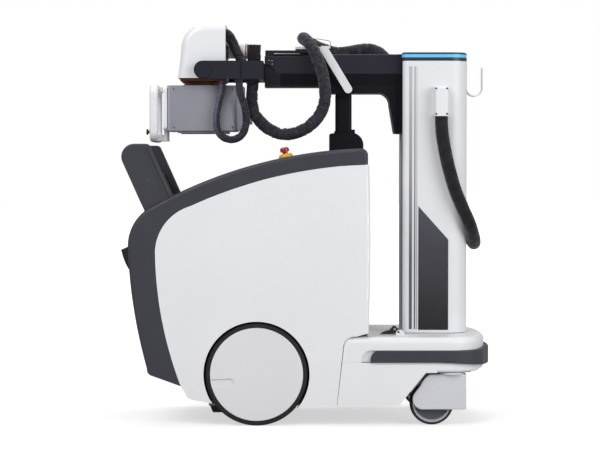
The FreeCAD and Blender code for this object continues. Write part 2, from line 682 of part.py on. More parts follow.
def led_strip():
    return plate(column_section(-0.2), LED_Z0, LED_Z1).cut(
        plate(column_section(-2.0), LED_Z0 - 1, LED_Z1 + 1))


# Arm
def beam_section(half, half_low, top, middle, low, bottom, r):
    """Front view of a beam: upright flanks above, a waist and a narrow foot."""
    k = r * (1 - math.sqrt(0.5))
    return ((-half_low, bottom), (half_low, bottom), (half_low, low), (half, middle),
            (half, top - r), ((half - k, top - k), (half - r, top)), (-half + r, top),
            ((-half + k, top - k), (-half, top - r)), (-half, middle), (-half_low, low))


def arm_outer():
    x1 = COLUMN_X - COLUMN_WIDTH / 2 - SEAT - BACKPLATE_THICK
    body = bar(beam_section(ARM_HALF, ARM_HALF_LOW, ARM_TOP_Z, ARM_MID_Z, ARM_LOW_Z,
                            ARM_BOTTOM_Z, 6.0), ARM_MOUTH_X, x1)
    room = bar(beam_section(ARM_HALF - ARM_WALL, ARM_HALF_LOW - ARM_WALL, ARM_TOP_Z - ARM_WALL,
                            ARM_MID_Z + 3, ARM_LOW_Z + 3, ARM_BOTTOM_Z + 22, 3.0),
               ARM_MOUTH_X - 1, x1 + 1)
    return body.cut(room)


def arm_carriage():
    """The casting that carries the arm: back plate, gusset and neck to the mast."""
    face = COLUMN_X - COLUMN_WIDTH / 2 - SEAT
    x0 = face - BACKPLATE_THICK
    back = block(x0, face, -ARM_HALF, ARM_HALF, 996.0, ARM_TOP_Z)
    web = ((x0, ARM_BOTTOM_Z), (262.0, ARM_BOTTOM_Z),
           ((284.0, 1122.0), (292.0, 1098.0)), (308.0, 1000.0), (312.0, 996.0), (x0, 996.0))
    gusset = slab(web, -ARM_HALF_LOW, ARM_HALF_LOW)
    hollow = slab(((x0 - 1, 1126.0), (300.0, 1100.0), (312.0, 1010.0), (x0 - 1, 1010.0)),
                  -ARM_HALF_LOW + 8, ARM_HALF_LOW - 8)
    neck_half = TRACK_SLOT / 2 - 4
    neck = block(face - 1, COLUMN_X - MAST_SIZE / 2, -neck_half, neck_half, 1010.0, 1236.0)
    return fuse([back, gusset.cut(hollow), neck])


def arm_inner():
    """The sliding beam with its cable tray and the roll bearing in its nose."""
    g = ARM_SLIDE_GAP
    half = ARM_HALF - ARM_WALL - g
    low = ARM_HALF_LOW - ARM_WALL - g
    top = ARM_TOP_Z - ARM_WALL - g
    foot = ARM_BOTTOM_Z + 22 + g
    body = bar(beam_section(half, low, top, ARM_MID_Z + 3, ARM_LOW_Z + 3, foot, 3.0),
               ARM_END_X, ARM_TAIL_X)
    room = bar(beam_section(half - 6, low - 6, top - 6, ARM_MID_Z + 5, ARM_LOW_Z + 5,
                            foot + 6, 2.0), ARM_END_X + 60, ARM_TAIL_X + 1)
    body = body.cut(room)
    tray = block(ARM_END_X + 2, 62.0, -54.0, 54.0, TRAY_TOP_Z - TRAY_THICK, TRAY_TOP_Z)
    tray = round_edges(tray, 3.0, lambda e: abs(mid(e).z - TRAY_TOP_Z) < 0.01)
    lift = block(ARM_END_X + 2, ARM_END_X + 32, -54.0, 54.0, top - 1, TRAY_TOP_Z - 4)
    rear = block(ARM_END_X + 31, 62.0, -46.0, 46.0, top - 1, TRAY_TOP_Z - 4)
    scoop = slab(((ARM_END_X - 1, 1236.0), (ARM_END_X + 14, 1236.0), (ARM_END_X + 34, 1220.0),
                  (ARM_END_X + 40, 1200.0), (ARM_END_X - 1, 1188.0)), -half - 1, -half + 7)
    body = fuse([body, tray, lift, rear]).cut(scoop).cut(mirrored(scoop))
    bore = rod(Vector(ARM_END_X - 1, 0, ROLL_Z), Vector(ARM_END_X + 52, 0, ROLL_Z),
               ROLL_PIN_R + RUNNING_FIT)
    return body.cut(bore)


def hose_bracket():
    """The white hose rest: a flat plate over the arm and a slanted arm beside it."""
    t = 8.0
    y0 = -ARM_HALF - t
    top = plate(((-34.0, -48.0), (48.0, -48.0), (52.0, -52.0), (52.0, y0), (84.0, y0), (84.0, 46.0),
                 (-34.0, 46.0), (-38.0, 42.0), (-38.0, -44.0)), 1291.5, 1300.0)
    a = Vector(62.0, y0, 1290.0)
    b = Vector(146.0, y0, 1150.0)
    along = b.sub(a)
    length = along.Length
    half = 14.0
    lever = block(0.0, length, 0.0, t, -half, half)
    lever = lever.fuse(rod(Vector(length, 0, 0), Vector(length, t, 0), half))
    lever = lever.fuse(rod(Vector(0, 0, 0), Vector(0, t, 0), half))
    angle = math.degrees(math.atan2(a.z - b.z, b.x - a.x))
    lever.rotate(Vector(0, 0, 0), Vector(0, 1, 0), angle)
    lever.translate(a)
    lever = lever.cut(block(-100, 300, y0 - 1, y0 + t + 1, 1300.0, 1400.0))
    return fuse([top, lever])


# Dock
def dock_surface_z(x):
    """Height of the sloping body top at x, from the same arc as the cover."""
    arc = Part.Arc(Vector(BODY_FRONT_X - 29, 0, BODY_TOP_Z), Vector(-195.0, 0, 882.0),
                   Vector(-540.0, 0, 736.0)).toShape()
    line = Part.makeLine(Vector(x, 0, 600), Vector(x, 0, 1000))
    return line.distToShape(arc)[1][0][0].z


def arm_dock():
    """Post and housing that the folded arm rests on."""
    x0 = DOCK_X - DOCK_POST_LENGTH / 2
    x1 = DOCK_X + DOCK_POST_LENGTH / 2
    housing = slab(((82.0, 925.0), (82.0, DOCK_TOP_Z - 4), (86.0, DOCK_TOP_Z), (172.0, DOCK_TOP_Z),
                    ((190.0, 984.0), (200.0, 948.0)), (204.0, 925.0)), -60.0, 60.0)
    top = ARM_BOTTOM_Z - SEAT - DOCK_PAD
    post = plate(rounded(x0, x1, -DOCK_POST_HALF, DOCK_POST_HALF, 10.0), DOCK_TOP_Z - 5, top)
    collar = plate(rounded(x0 - 4, x1 + 4, -DOCK_POST_HALF - 4, DOCK_POST_HALF + 4, 12.0),
                   DOCK_TOP_Z - 2, DOCK_TOP_Z + 8)
    latch = block(x1 - 14, x1 + 12, -16.0, 16.0, DOCK_TOP_Z - 2, DOCK_TOP_Z + 22)
    cut = slab(((x1 - 8, DOCK_TOP_Z + 14), (x1 + 14, DOCK_TOP_Z + 14), (x1 + 14, DOCK_TOP_Z + 30),
                (x1 - 2, DOCK_TOP_Z + 30)), -20, 20)
    body = fuse([housing, post, collar, latch]).cut(cut)
    inside = Part.Face(closed_wire(side(0), *body_outline()))
    return body.cut(inside.extrude(Vector(0, 100, 0))).cut(inside.extrude(Vector(0, -100, 0)))


def dock_pad():
    x0 = DOCK_X - DOCK_POST_LENGTH / 2
    x1 = DOCK_X + DOCK_POST_LENGTH / 2
    top = ARM_BOTTOM_Z - SEAT
    pad = plate(rounded(x0 + 1, x1 - 1, -DOCK_POST_HALF + 1, DOCK_POST_HALF - 1, 9.0),
                top - DOCK_PAD, top)
    return pad


# Rear handle group
CHEEK_LEAN = 24.1
CHEEK_TOP_R = 44.0
CHEEK_Y0 = 222.0
CHEEK_Y1 = 262.0
CHEEK_HEEL = (-549.0, 738.0)
CHEEK_GRIP = (-583.5, 914.0)
GRIP_R = 16.0
BAR_R = 6.0


def lean_frame(shape):
    """Turns a shape drawn upright at the cheek's heel into the cheek's lean."""
    heel = Vector(CHEEK_HEEL[0], 0, CHEEK_HEEL[1])
    shape.translate(heel)
    shape.rotate(heel, Vector(0, 1, 0), -CHEEK_LEAN)
    return shape


def cheek():
    """Near side rounded cheek that carries the drive grip."""
    lean = math.radians(CHEEK_LEAN)
    rear = CHEEK_TOP_R
    nose = 16.0
    rear_x, rear_z = CHEEK_GRIP
    nose_x = rear_x + 38.0
    nose_z = rear_z + rear - nose
    rear_way = math.pi * 3 / 4 + lean / 2
    nose_way = math.pi / 4 + lean / 2
    run = 250.0
    heel = (rear_x - rear * math.cos(lean) + run * math.sin(lean),
            rear_z - rear * math.sin(lean) - run * math.cos(lean))
    toe = (nose_x + nose * math.cos(lean) + run * math.sin(lean),
           nose_z + nose * math.sin(lean) - run * math.cos(lean))
    outline = (heel, (rear_x - rear * math.cos(lean), rear_z - rear * math.sin(lean)),
               ((rear_x + rear * math.cos(rear_way), rear_z + rear * math.sin(rear_way)),
                (rear_x, rear_z + rear)),
               (nose_x, nose_z + nose),
               ((nose_x + nose * math.cos(nose_way), nose_z + nose * math.sin(nose_way)),
                (nose_x + nose * math.cos(lean), nose_z + nose * math.sin(lean))), toe)
    body = slab(outline, -CHEEK_Y1, -CHEEK_Y0)
    body = round_edges(body, 5.0, lambda e: abs(abs(mid(e).y) - (CHEEK_Y1 + CHEEK_Y0) / 2) > 19
                       and mid(e).z > 760)
    groove = slab(((78.0, 12.0), (80.0, 12.0), (80.0, 180.0), (78.0, 180.0)),
                  -CHEEK_Y1 - 1, -CHEEK_Y1 + 1.2)
    cap = rod(Vector(46.0, -CHEEK_Y1 - 1.5, 88.0), Vector(46.0, -CHEEK_Y1 + 1, 88.0), 8.0)
    body = fuse([body.cut(lean_frame(groove)), lean_frame(cap)])
    inside = Part.Face(closed_wire(side(0), *body_outline())).extrude(Vector(0, -400, 0))
    return body.cut(inside)


GRIP_AT = (40.3, 174.8)
BAR_AT = (40.3, 138.8)


def grip_bar():
    """The drive grip between the cheeks, thicker where the hands go."""
    x, z = GRIP_AT
    end = CHEEK_Y0
    place = lambda r, y: Vector(x + r, y, z)
    half = ((0.0, -end), (13.0, -end), (13.0, -200.0), (GRIP_R, -196.0), (GRIP_R, -20.0),
            (13.0, -16.0), (13.0, 16.0), (GRIP_R, 20.0), (GRIP_R, 196.0), (13.0, 200.0),
            (13.0, end), (0.0, end))
    return lean_frame(spun(half, place, Vector(x, 0, z), Vector(0, 1, 0)))


def enable_bar():
    """The sprung bar under the grip that has to be squeezed to drive."""
    x, z = BAR_AT
    end = CHEEK_Y0 - SEAT
    return lean_frame(rod(Vector(x, -end, z), Vector(x, end, z), BAR_R))


BIN_X0 = 22.0
BIN_X1 = 78.0
BIN_TOP = 98.0
BIN_FOOT = -200.0
BIN_HALF = 214.0
BIN_WALL = 4.0


def detector_bin():
    """The pocket between the cheeks that holds the flat detector."""
    outer = block(BIN_X0, BIN_X1, -BIN_HALF, BIN_HALF, BIN_FOOT, BIN_TOP)
    outer = round_edges(outer, 8.0, lambda e: abs(mid(e).z - (BIN_TOP + BIN_FOOT) / 2) < 1)
    inner = block(BIN_X0 + BIN_WALL, BIN_X1 - BIN_WALL, -BIN_HALF + BIN_WALL, BIN_HALF - BIN_WALL,
                  BIN_FOOT + BIN_WALL, BIN_TOP + 1)
    lip = block(BIN_X0 - 3, BIN_X1 + 3, -BIN_HALF - 7.7, BIN_HALF + 7.7, BIN_TOP - 12, BIN_TOP - 6)
    return lean_frame(fuse([outer, lip]).cut(inner))


def bin_opening():
    """The hole in the band that the bin drops through, with clearance."""
    c = 0.5
    return lean_frame(block(BIN_X0 - c, BIN_X1 + c, -BIN_HALF - c, BIN_HALF + c,
                            BIN_FOOT - c, BIN_TOP))




def accessory_pocket():
    """A shallow tray on the rear of the band for gloves and covers."""
    outline = ((-606.0, 590.0), (-640.0, 594.0), (TAIL_X, 590.0), (TAIL_X + 2, 586.0),
               ((-626.0, 545.0), (-606.0, 512.0)), (-596.0, 508.0), (-592.0, 560.0))
    body = slab(outline, -130.0, 130.0)
    room = slab(((-604.0, 600.0), (-634.0, 600.0), (-630.0, 586.0), (-606.0, 530.0)), -126.0, 126.0)
    body = body.cut(room)
    inside = Part.Face(closed_wire(side(0), *body_outline()))
    return body.cut(inside.extrude(Vector(0, 200, 0))).cut(inside.extrude(Vector(0, -200, 0)))


# Display and emergency stop on the sloping top
DISPLAY_X0 = -440.0
DISPLAY_X1 = -150.0
DISPLAY_HALF = 190.0
DISPLAY_SINK = 6.0
GLASS_THICK = 3.0


def on_slope(x0, x1, shape):
    """Carries a flat shape drawn at z = 0, from x = 0, onto the body's top."""
    z0, z1 = dock_surface_z(x0), dock_surface_z(x1)
    angle = math.degrees(math.atan2(z1 - z0, x1 - x0))
    shape.rotate(Vector(0, 0, 0), Vector(0, 1, 0), -angle)
    shape.translate(Vector(x0, 0, z0))
    return shape


def display_length():
    z0, z1 = dock_surface_z(DISPLAY_X0), dock_surface_z(DISPLAY_X1)
    return math.hypot(DISPLAY_X1 - DISPLAY_X0, z1 - z0)


def display_pocket():
    length = display_length()
    cut = plate(rounded(0.0, length, -DISPLAY_HALF, DISPLAY_HALF, 14.0), -DISPLAY_SINK, 40.0)
    return on_slope(DISPLAY_X0, DISPLAY_X1, cut)


def display_tray():
    """Support under the display: fills the pocket's floor inside the band."""
    length = display_length()
    tray = plate(rounded(-4.0, length + 4.0, -DISPLAY_HALF - 4, DISPLAY_HALF + 4, 18.0),
                 -DISPLAY_SINK - WALL, 2.0)
    return on_slope(DISPLAY_X0, DISPLAY_X1, tray)


def display_bezel():
    length = display_length()
    c = 0.3
    outer = plate(rounded(c, length - c, -DISPLAY_HALF + c, DISPLAY_HALF - c, 14.0),
                  -DISPLAY_SINK, -0.5)
    inner = plate(rounded(14.0, length - 14.0, -DISPLAY_HALF + 14, DISPLAY_HALF - 14, 6.0),
                  -DISPLAY_SINK + 1.5, 5.0)
    return on_slope(DISPLAY_X0, DISPLAY_X1, outer.cut(inner))


def display_glass():
    length = display_length()
    glass = plate(rounded(14.3, length - 14.3, -DISPLAY_HALF + 14.3, DISPLAY_HALF - 14.3, 6.0),
                  -DISPLAY_SINK + 1.5, -DISPLAY_SINK + 1.5 + GLASS_THICK)
    return on_slope(DISPLAY_X0, DISPLAY_X1, glass)


STOP_X = -69.5
STOP_Y = -196.0
STOP_TRAVEL = 6.0
STOP_COLLAR_TOP = 12.0
STOP_BUTTON_R = 15.5


def stop_axis():
    z0, z1 = dock_surface_z(STOP_X - 20), dock_surface_z(STOP_X + 20)
    lean = math.atan2(z1 - z0, 40.0)
    return Vector(-math.sin(lean), 0, math.cos(lean)), math.degrees(lean)


def emergency_stop():
    """Yellow collar and red mushroom button, square to the sloping top."""
    foot_z = dock_surface_z(STOP_X)
    place = lambda r, z: Vector(r, 0, z)
    axis = Vector(0, 0, 1)
    collar = spun(((9.05, -14.0), (12.0, -14.0), (12.0, -3.0), (24.5, 0.6), (24.0, 4.0),
                   ((20.0, 10.0), (16.0, STOP_COLLAR_TOP)), (9.05, STOP_COLLAR_TOP)),
                  place, Vector(0, 0, 0), axis)
    under = STOP_COLLAR_TOP + STOP_TRAVEL + SEAT + 0.1
    button = spun(((0.0, -10.0), (9.0, -10.0), (9.0, under), (STOP_BUTTON_R - 2, under),
                   ((STOP_BUTTON_R - 0.5, 19.2), (STOP_BUTTON_R, 21.0)), (STOP_BUTTON_R, 27.0),
                   ((STOP_BUTTON_R - 1.5, 31.0), (STOP_BUTTON_R - 6, 33.5)), (3.0, 34.3),
                   (0.0, 34.3)), place, Vector(0, 0, 0), axis)
    lean = stop_axis()[1]
    for shape in (collar, button):
        shape.rotate(Vector(0, 0, 0), Vector(0, 1, 0), -lean)
        shape.translate(Vector(STOP_X, STOP_Y, foot_z))
    return collar, button


def stop_hole():
    lean = stop_axis()[1]
    hole = Part.makeCylinder(12.4, 40.0, Vector(0, 0, -30))
    seat = Part.makeCone(24.9, 12.4, 4.0, Vector(0, 0, 0.8), Vector(0, 0, -1))
    cut = hole.fuse(seat)
    cut.rotate(Vector(0, 0, 0), Vector(0, 1, 0), -lean)
    cut.translate(Vector(STOP_X, STOP_Y, dock_surface_z(STOP_X)))
    return cut


# Latch lever on the base top
LATCH_X = 318.0
LATCH_Y = -150.0
LATCH_PIN_R = 4.0
LATCH_RAISE = 9.0


def latch_lever():
    z = BASE_TOP_Z + LATCH_RAISE
    outline = ((LATCH_X + 8, z - 6), (LATCH_X + 8, z + 4), ((LATCH_X + 6, z + 9), (LATCH_X, z + 10)),
               (LATCH_X - 10, z + 20), (LATCH_X - 18, z + 20), (LATCH_X - 30, z + 6),
               (LATCH_X - 48, z + 1), (LATCH_X - 62, z - 7), (LATCH_X - 30, z - 7),
               (LATCH_X - 8, z - 6))
    lever = slab(outline, LATCH_Y - 9, LATCH_Y + 9)
    eye = rod(Vector(LATCH_X - 12, LATCH_Y - 20, z + 9), Vector(LATCH_X - 12, LATCH_Y + 20, z + 9), 4.5)
    pin = rod(Vector(LATCH_X, LATCH_Y - 15, z), Vector(LATCH_X, LATCH_Y + 15, z), LATCH_PIN_R)
    return fuse([lever.cut(eye), pin])


def latch_ears():
    z = BASE_TOP_Z + LATCH_RAISE
    ears = []
    for y0 in (LATCH_Y - 16.0, LATCH_Y + 9.5):
        ear = slab(((LATCH_X - 9, BASE_TOP_Z - 2), (LATCH_X + 22, BASE_TOP_Z - 2),
                    (LATCH_X + 22, BASE_TOP_Z + 3), ((LATCH_X + 9, z + 7), (LATCH_X - 4, z + 6)),
                    (LATCH_X - 9, z - 2)), y0, y0 + 6.5)
        ear = ear.cut(rod(Vector(LATCH_X, y0 - 1, z), Vector(LATCH_X, y0 + 8, z),
                          LATCH_PIN_R + RUNNING_FIT))
        ears.append(ear)
    return ears


# Head
def head_fork():
    """The yoke: crossbar, two plates with bosses, roll pin and tilt pins."""
    z0, z1 = ROLL_Z - FORK_HEIGHT / 2, ROLL_Z + FORK_HEIGHT / 2
    crossbar = block(CROSSBAR_X0, CROSSBAR_X1, -FORK_HALF + 6, FORK_HALF - 6, z0, z1)
    crossbar = round_edges(crossbar, 4.0, lambda e: abs(mid(e).x - CROSSBAR_X1) < 0.01)
    pieces = [crossbar]
    pieces.append(rod(Vector(CROSSBAR_X1 - 1, 0, ROLL_Z), Vector(ARM_END_X + 50, 0, ROLL_Z),
                      ROLL_PIN_R))
    step_x = -228.0
    for sign in (-1, 1):
        y_out = sign * FORK_HALF
        y_in = sign * (FORK_HALF - FORK_PLATE)
        a, b = sorted((y_out, y_in))
        plate_front = slab(((step_x, z0), (step_x, z1), (HEAD_X, z1), (HEAD_X, z0)), a, b)
        pieces.append(plate_front)
        pieces.append(rod(Vector(HEAD_X, y_in, ROLL_Z), Vector(HEAD_X, y_out, ROLL_Z), FORK_HEIGHT / 2))
        a, b = sorted((sign * (FORK_HALF - 6), y_in))
        pieces.append(block(step_x - 1, CROSSBAR_X1 - 2, a, b, z0, z1))
        pieces.append(rod(Vector(HEAD_X, y_out, ROLL_Z), Vector(HEAD_X, y_out + sign * 4, ROLL_Z),
                          BOSS_R))
        pieces.append(rod(Vector(HEAD_X, y_in, ROLL_Z), Vector(HEAD_X, sign * (TUBE_HALF - 8), ROLL_Z),
                          TILT_PIN_R))
    gland = block(-246.0, -218.0, -FORK_HALF + 6, -TUBE_HALF - 1.5, z0 - 14, z0 + 12)
    pieces.append(gland)
    return fuse(pieces)


def tube_outline():
    return ((-445.0, TUBE_BOTTOM_Z), (-437.0, 1245.0), (-432.0, 1300.0),
            ((-408.0, 1350.0), (-350.0, TUBE_TOP_Z)), (TUBE_REAR_X, TUBE_TOP_Z),
            (TUBE_REAR_X, TUBE_BOTTOM_Z))


def tube_shell():
    """The white head cover, open at the rear and the bottom."""
    body = slab(tube_outline(), -TUBE_HALF, TUBE_HALF)

    def flank(edge):
        spot = mid(edge)
        at_side = abs(abs(spot.y) - TUBE_HALF) < 0.01
        return at_side and spot.z > TUBE_BOTTOM_Z + 1 and spot.x < TUBE_REAR_X - 1

    body = round_edges(body, 24.0, flank)
    room = closed_wire(side(-TUBE_HALF + TUBE_WALL), *tube_outline()).makeOffset2D(-TUBE_WALL)
    room = Part.Face(room).extrude(Vector(0, 2 * (TUBE_HALF - TUBE_WALL), 0))

    def inner_flank(edge):
        spot = mid(edge)
        at_side = abs(abs(spot.y) - TUBE_HALF + TUBE_WALL) < 0.01
        return at_side and spot.z > TUBE_BOTTOM_Z + 6 and spot.x < TUBE_REAR_X - 5

    room = round_edges(room, 20.0, inner_flank)
    mouth = block(TUBE_REAR_X - 12, TUBE_REAR_X + 1, -TUBE_HALF + 16, TUBE_HALF - 16,
                  TUBE_BOTTOM_Z + 8, TUBE_TOP_Z - 14)
    body = body.cut(room).cut(mouth)
    body = body.cut(rod(Vector(HEAD_X, 0, TUBE_BOTTOM_Z - 1), Vector(HEAD_X, 0, ROLL_Z), 47.0))
    for sign in (-1, 1):
        body = body.cut(rod(Vector(HEAD_X, sign * (TUBE_HALF - 30), ROLL_Z),
                            Vector(HEAD_X, sign * (TUBE_HALF + 10), ROLL_Z), TILT_PIN_R + 2))
    return body


def tube_insert():
    """The x-ray tube housing, hung on the two tilt pins."""
    centre_z = ROLL_Z + 50.0
    reach = TUBE_HALF - TUBE_WALL - SEAT
    core_half = reach - 12
    core = rod(Vector(HEAD_X, -core_half, centre_z), Vector(HEAD_X, core_half, centre_z), 66.0)
    core = round_edges(core, 10.0, lambda e: abs(abs(mid(e).y) - core_half) < 0.1)
    port = rod(Vector(HEAD_X, 0, TUBE_BOTTOM_Z + SEAT), Vector(HEAD_X, 0, centre_z), 46.0)
    neck = rod(Vector(HEAD_X, 0, CONNECTOR_Z), Vector(TUBE_REAR_X + 6, 0, CONNECTOR_Z),
               CONNECTOR_R + 4)
    pieces = [core, port, neck]
    for sign in (-1, 1):
        pieces.append(rod(Vector(HEAD_X, sign * (reach - 34), ROLL_Z),
                          Vector(HEAD_X, sign * reach, ROLL_Z), TILT_PIN_R + 8))
    body = fuse(pieces)
    for sign in (-1, 1):
        body = body.cut(rod(Vector(HEAD_X, sign * (TUBE_HALF - 10), ROLL_Z),
                            Vector(HEAD_X, sign * (TUBE_HALF + 4), ROLL_Z),
                            TILT_PIN_R + RUNNING_FIT))
    return body


def tube_flange():
    """Bronze mounting flange with its turntable ring."""
    flange = plate(rounded(-438.0, TUBE_REAR_X + 1, -TUBE_HALF + 14, TUBE_HALF - 14, 26.0),
                   FLANGE_Z0, TUBE_BOTTOM_Z)
    flange = round_edges(flange, 5.0, lambda e: abs(mid(e).z - FLANGE_Z0) < 0.01)
    ring = rod(Vector(HEAD_X, 0, TURNTABLE_Z0), Vector(HEAD_X, 0, FLANGE_Z0), TURNTABLE_R)
    waist = spun(((TURNTABLE_R - 6, TURNTABLE_Z0 + 4), (TURNTABLE_R + 1, TURNTABLE_Z0 + 4),
                  (TURNTABLE_R + 1, FLANGE_Z0 - 2), (TURNTABLE_R - 6, FLANGE_Z0 - 2)),
                 lambda r, z: Vector(HEAD_X + r, 0, z), Vector(HEAD_X, 0, 0), Vector(0, 0, 1))
    window = rod(Vector(HEAD_X, 0, TURNTABLE_Z0 - 1), Vector(HEAD_X, 0, TUBE_BOTTOM_Z + 1), 40.0)
    gland = block(-304.0, -276.0, -TUBE_HALF - 1, -TUBE_HALF + 26, FLANGE_Z0, TUBE_BOTTOM_Z)
    body = fuse([flange, gland, ring.cut(waist)])
    for turn in range(8):
        angle = math.radians(45 * turn + 22.5)
        spot = Vector(HEAD_X + 66 * math.cos(angle), 66 * math.sin(angle), TURNTABLE_Z0 + 4)
        body = body.fuse(rod(spot, spot + Vector(0, 0, 7), 5.0))
    return body.cut(window).removeSplitter()


def hv_connector():
    """White socket of the high voltage lead with its copper ring."""
    x0 = TUBE_REAR_X + 6
    body = spun(((0.0, x0), (CONNECTOR_R, x0), (CONNECTOR_R, -214.0),
                 (CONNECTOR_R - 2, -214.0), (CONNECTOR_R - 2, -212.0), (CONNECTOR_R + 1, -212.0),
                 (CONNECTOR_R + 1, -207.5), (0.0, -207.5)),
                lambda r, x: Vector(x, 0, CONNECTOR_Z + r), Vector(0, 0, CONNECTOR_Z), Vector(1, 0, 0))
    return body


def connector_boot():
    """The angled boot that turns the lead downwards."""
    r = 23.0
    x0, x1 = -207.5, HOSE_X
    low = 1250.0
    straight = rod(Vector(x0, 0, CONNECTOR_Z), Vector(x1, 0, CONNECTOR_Z), r)
    knee = Part.makeSphere(r, Vector(x1, 0, CONNECTOR_Z))
    down = rod(Vector(x1, 0, low), Vector(x1, 0, CONNECTOR_Z), r)
    boot = fuse([straight, knee, down]).cut(block(-300, -100, -50, 50, 1200.0, low))
    return boot.cut(block(-300, x0, -50, 50, 1200.0, 1400.0))


def collimator_housing():
    """The grey collimator box with its window, rear panel and screws."""
    body = plate(rounded(COLL_FRONT_X, COLL_REAR_X, -COLL_HALF, COLL_HALF, COLL_ROUND),
                 COLL_BOTTOM_Z, COLL_TOP_Z)
    body = round_edges(body, 2.5, lambda e: abs(mid(e).z - COLL_BOTTOM_Z) < 0.01)
    rear = plate(rounded(COLL_REAR_X - 20, COLL_REAR_X + 24, -COLL_HALF + 16, COLL_HALF - 16, 12.0),
                 COLL_BOTTOM_Z + 4, COLL_TOP_Z - 3)
    chute = block(COLL_REAR_X + 20, COLL_REAR_X + 50, 16.0, 64.0, COLL_BOTTOM_Z + 26,
                  COLL_BOTTOM_Z + 66)
    window = plate(rounded(HEAD_X - 70, HEAD_X + 70, -70.0, 70.0, 6.0), COLL_BOTTOM_Z - 1,
                   COLL_BOTTOM_Z + 5)
    rails = []
    for sign in (-1, 1):
        y0, y1 = sorted((sign * 82.0, sign * 90.0))
        rails.append(block(HEAD_X - 90, HEAD_X + 84, y0, y1, COLL_BOTTOM_Z - 7, COLL_BOTTOM_Z + 1))
    for x in (COLL_REAR_X - 18, COLL_FRONT_X + 30):
        for z in (COLL_BOTTOM_Z + 18, COLL_TOP_Z - 16):
            for sign in (-1, 1):
                rails.append(rod(Vector(x, sign * (COLL_HALF - 2), z),
                                 Vector(x, sign * (COLL_HALF + 1), z), 3.0))
    return fuse([body, rear, chute] + rails).cut(window)


def handle_panel():
    """White handle loop and control panel on the collimator's front."""
    face = COLL_FRONT_X
    outer = bar(rounded(-HANDLE_HALF, HANDLE_HALF, HANDLE_BOTTOM_Z, HANDLE_TOP_Z, 34.0),
                HANDLE_X0, HANDLE_X1)
    inner_half = HANDLE_HALF - HANDLE_BAR
    inner = bar(rounded(-inner_half, inner_half, HANDLE_BOTTOM_Z + HANDLE_BAR,
                        HANDLE_TOP_Z - HANDLE_BAR, 16.0), HANDLE_X0 - 1, HANDLE_X1 + 1)
    loop = outer.cut(inner)
    loop = round_edges(loop, 9.0, lambda e: abs(mid(e).x - HANDLE_X0) < 0.01
                       or abs(mid(e).x - HANDLE_X1) < 0.01)
    panel = bar(rounded(-90.0, 90.0, COLL_BOTTOM_Z + 4, COLL_TOP_Z - 4, 12.0), face - 13, face)
    foot = block(HANDLE_X1 - 6, face - 4, -60.0, 60.0, HANDLE_BOTTOM_Z + 4, HANDLE_BOTTOM_Z + 26)
    foot2 = block(face - 13, face - 2, -60.0, 60.0, HANDLE_BOTTOM_Z + 4, COLL_BOTTOM_Z + 8)
    head = block(HANDLE_X1 - 6, face - 2, -60.0, 60.0, HANDLE_TOP_Z - 24, HANDLE_TOP_Z - 8)
    return fuse([loop, panel, foot, foot2, head]).cut(handle_button_hole())


HANDLE_BUTTON_Y = -HANDLE_HALF + HANDLE_BAR / 2
HANDLE_BUTTON_Z = 1001.0
HANDLE_BUTTON_TRAVEL = 4.0
BUTTON_HEAD_R = 10.0
BUTTON_STEM_R = 4.5


def handle_button_hole():
    """Blind hole in the handle bar for the button's stem."""
    foot = Vector(HANDLE_X0 - 1, HANDLE_BUTTON_Y, HANDLE_BUTTON_Z)
    return rod(foot, foot + Vector(19.5 + HANDLE_BUTTON_TRAVEL, 0, 0), BUTTON_STEM_R + RUNNING_FIT)


def handle_button():
    """Brake release button on the handle, pushed towards the collimator."""
    back = HANDLE_X0 - HANDLE_BUTTON_TRAVEL - SEAT
    tip = back - 6.5
    foot = Vector(back, HANDLE_BUTTON_Y, HANDLE_BUTTON_Z)
    head = rod(Vector(tip, HANDLE_BUTTON_Y, HANDLE_BUTTON_Z), foot, BUTTON_HEAD_R)
    head = round_edges(head, 2.0, lambda e: abs(mid(e).x - tip) < 0.01)
    return head.fuse(rod(foot - Vector(1, 0, 0), foot + Vector(22.0, 0, 0), BUTTON_STEM_R))


# Hoses and cords
def cord(name, points, diameter):
    """A tube along straight runs joined by the largest arcs they allow."""
    spots = [Vector(*p) for p in points]
    edges = []
    radii = []
    here = spots[0]
    for before, corner, after in zip(spots, spots[1:], spots[2:]):
        arrive = corner.sub(before)
        leave = after.sub(corner)
        turn = arrive.getAngle(leave)
        reach = 0.45 * min(arrive.Length, leave.Length)
        radii.append(reach / math.tan(turn / 2))
        a = corner.sub(arrive.normalize().multiply(reach))
        b = corner.add(leave.normalize().multiply(reach))
        inward = a.add(b).multiply(0.5).sub(corner)
        inward.normalize()
        centre = corner.add(Vector(inward).multiply(radii[-1] / math.cos(turn / 2)))
        via = centre.sub(Vector(inward).multiply(radii[-1]))
        edges.append(Part.LineSegment(here, a).toShape())
        edges.append(Part.Arc(a, via, b).toShape())
        here = b
    edges.append(Part.LineSegment(here, spots[-1]).toShape())
    path = Part.Wire(edges)
    start_dir = spots[1].sub(spots[0])
    ring = Part.Wire([Part.makeCircle(diameter / 2, spots[0], start_dir)])
    tube = path.makePipeShell([ring], True, False)
    ideal = math.pi * diameter ** 2 / 4 * path.Length
    print(name, "length %.0f" % path.Length, "volume ratio %.4f" % (tube.Volume / ideal),
          "radii", [round(r) for r in radii])
    NODES[name] = tube


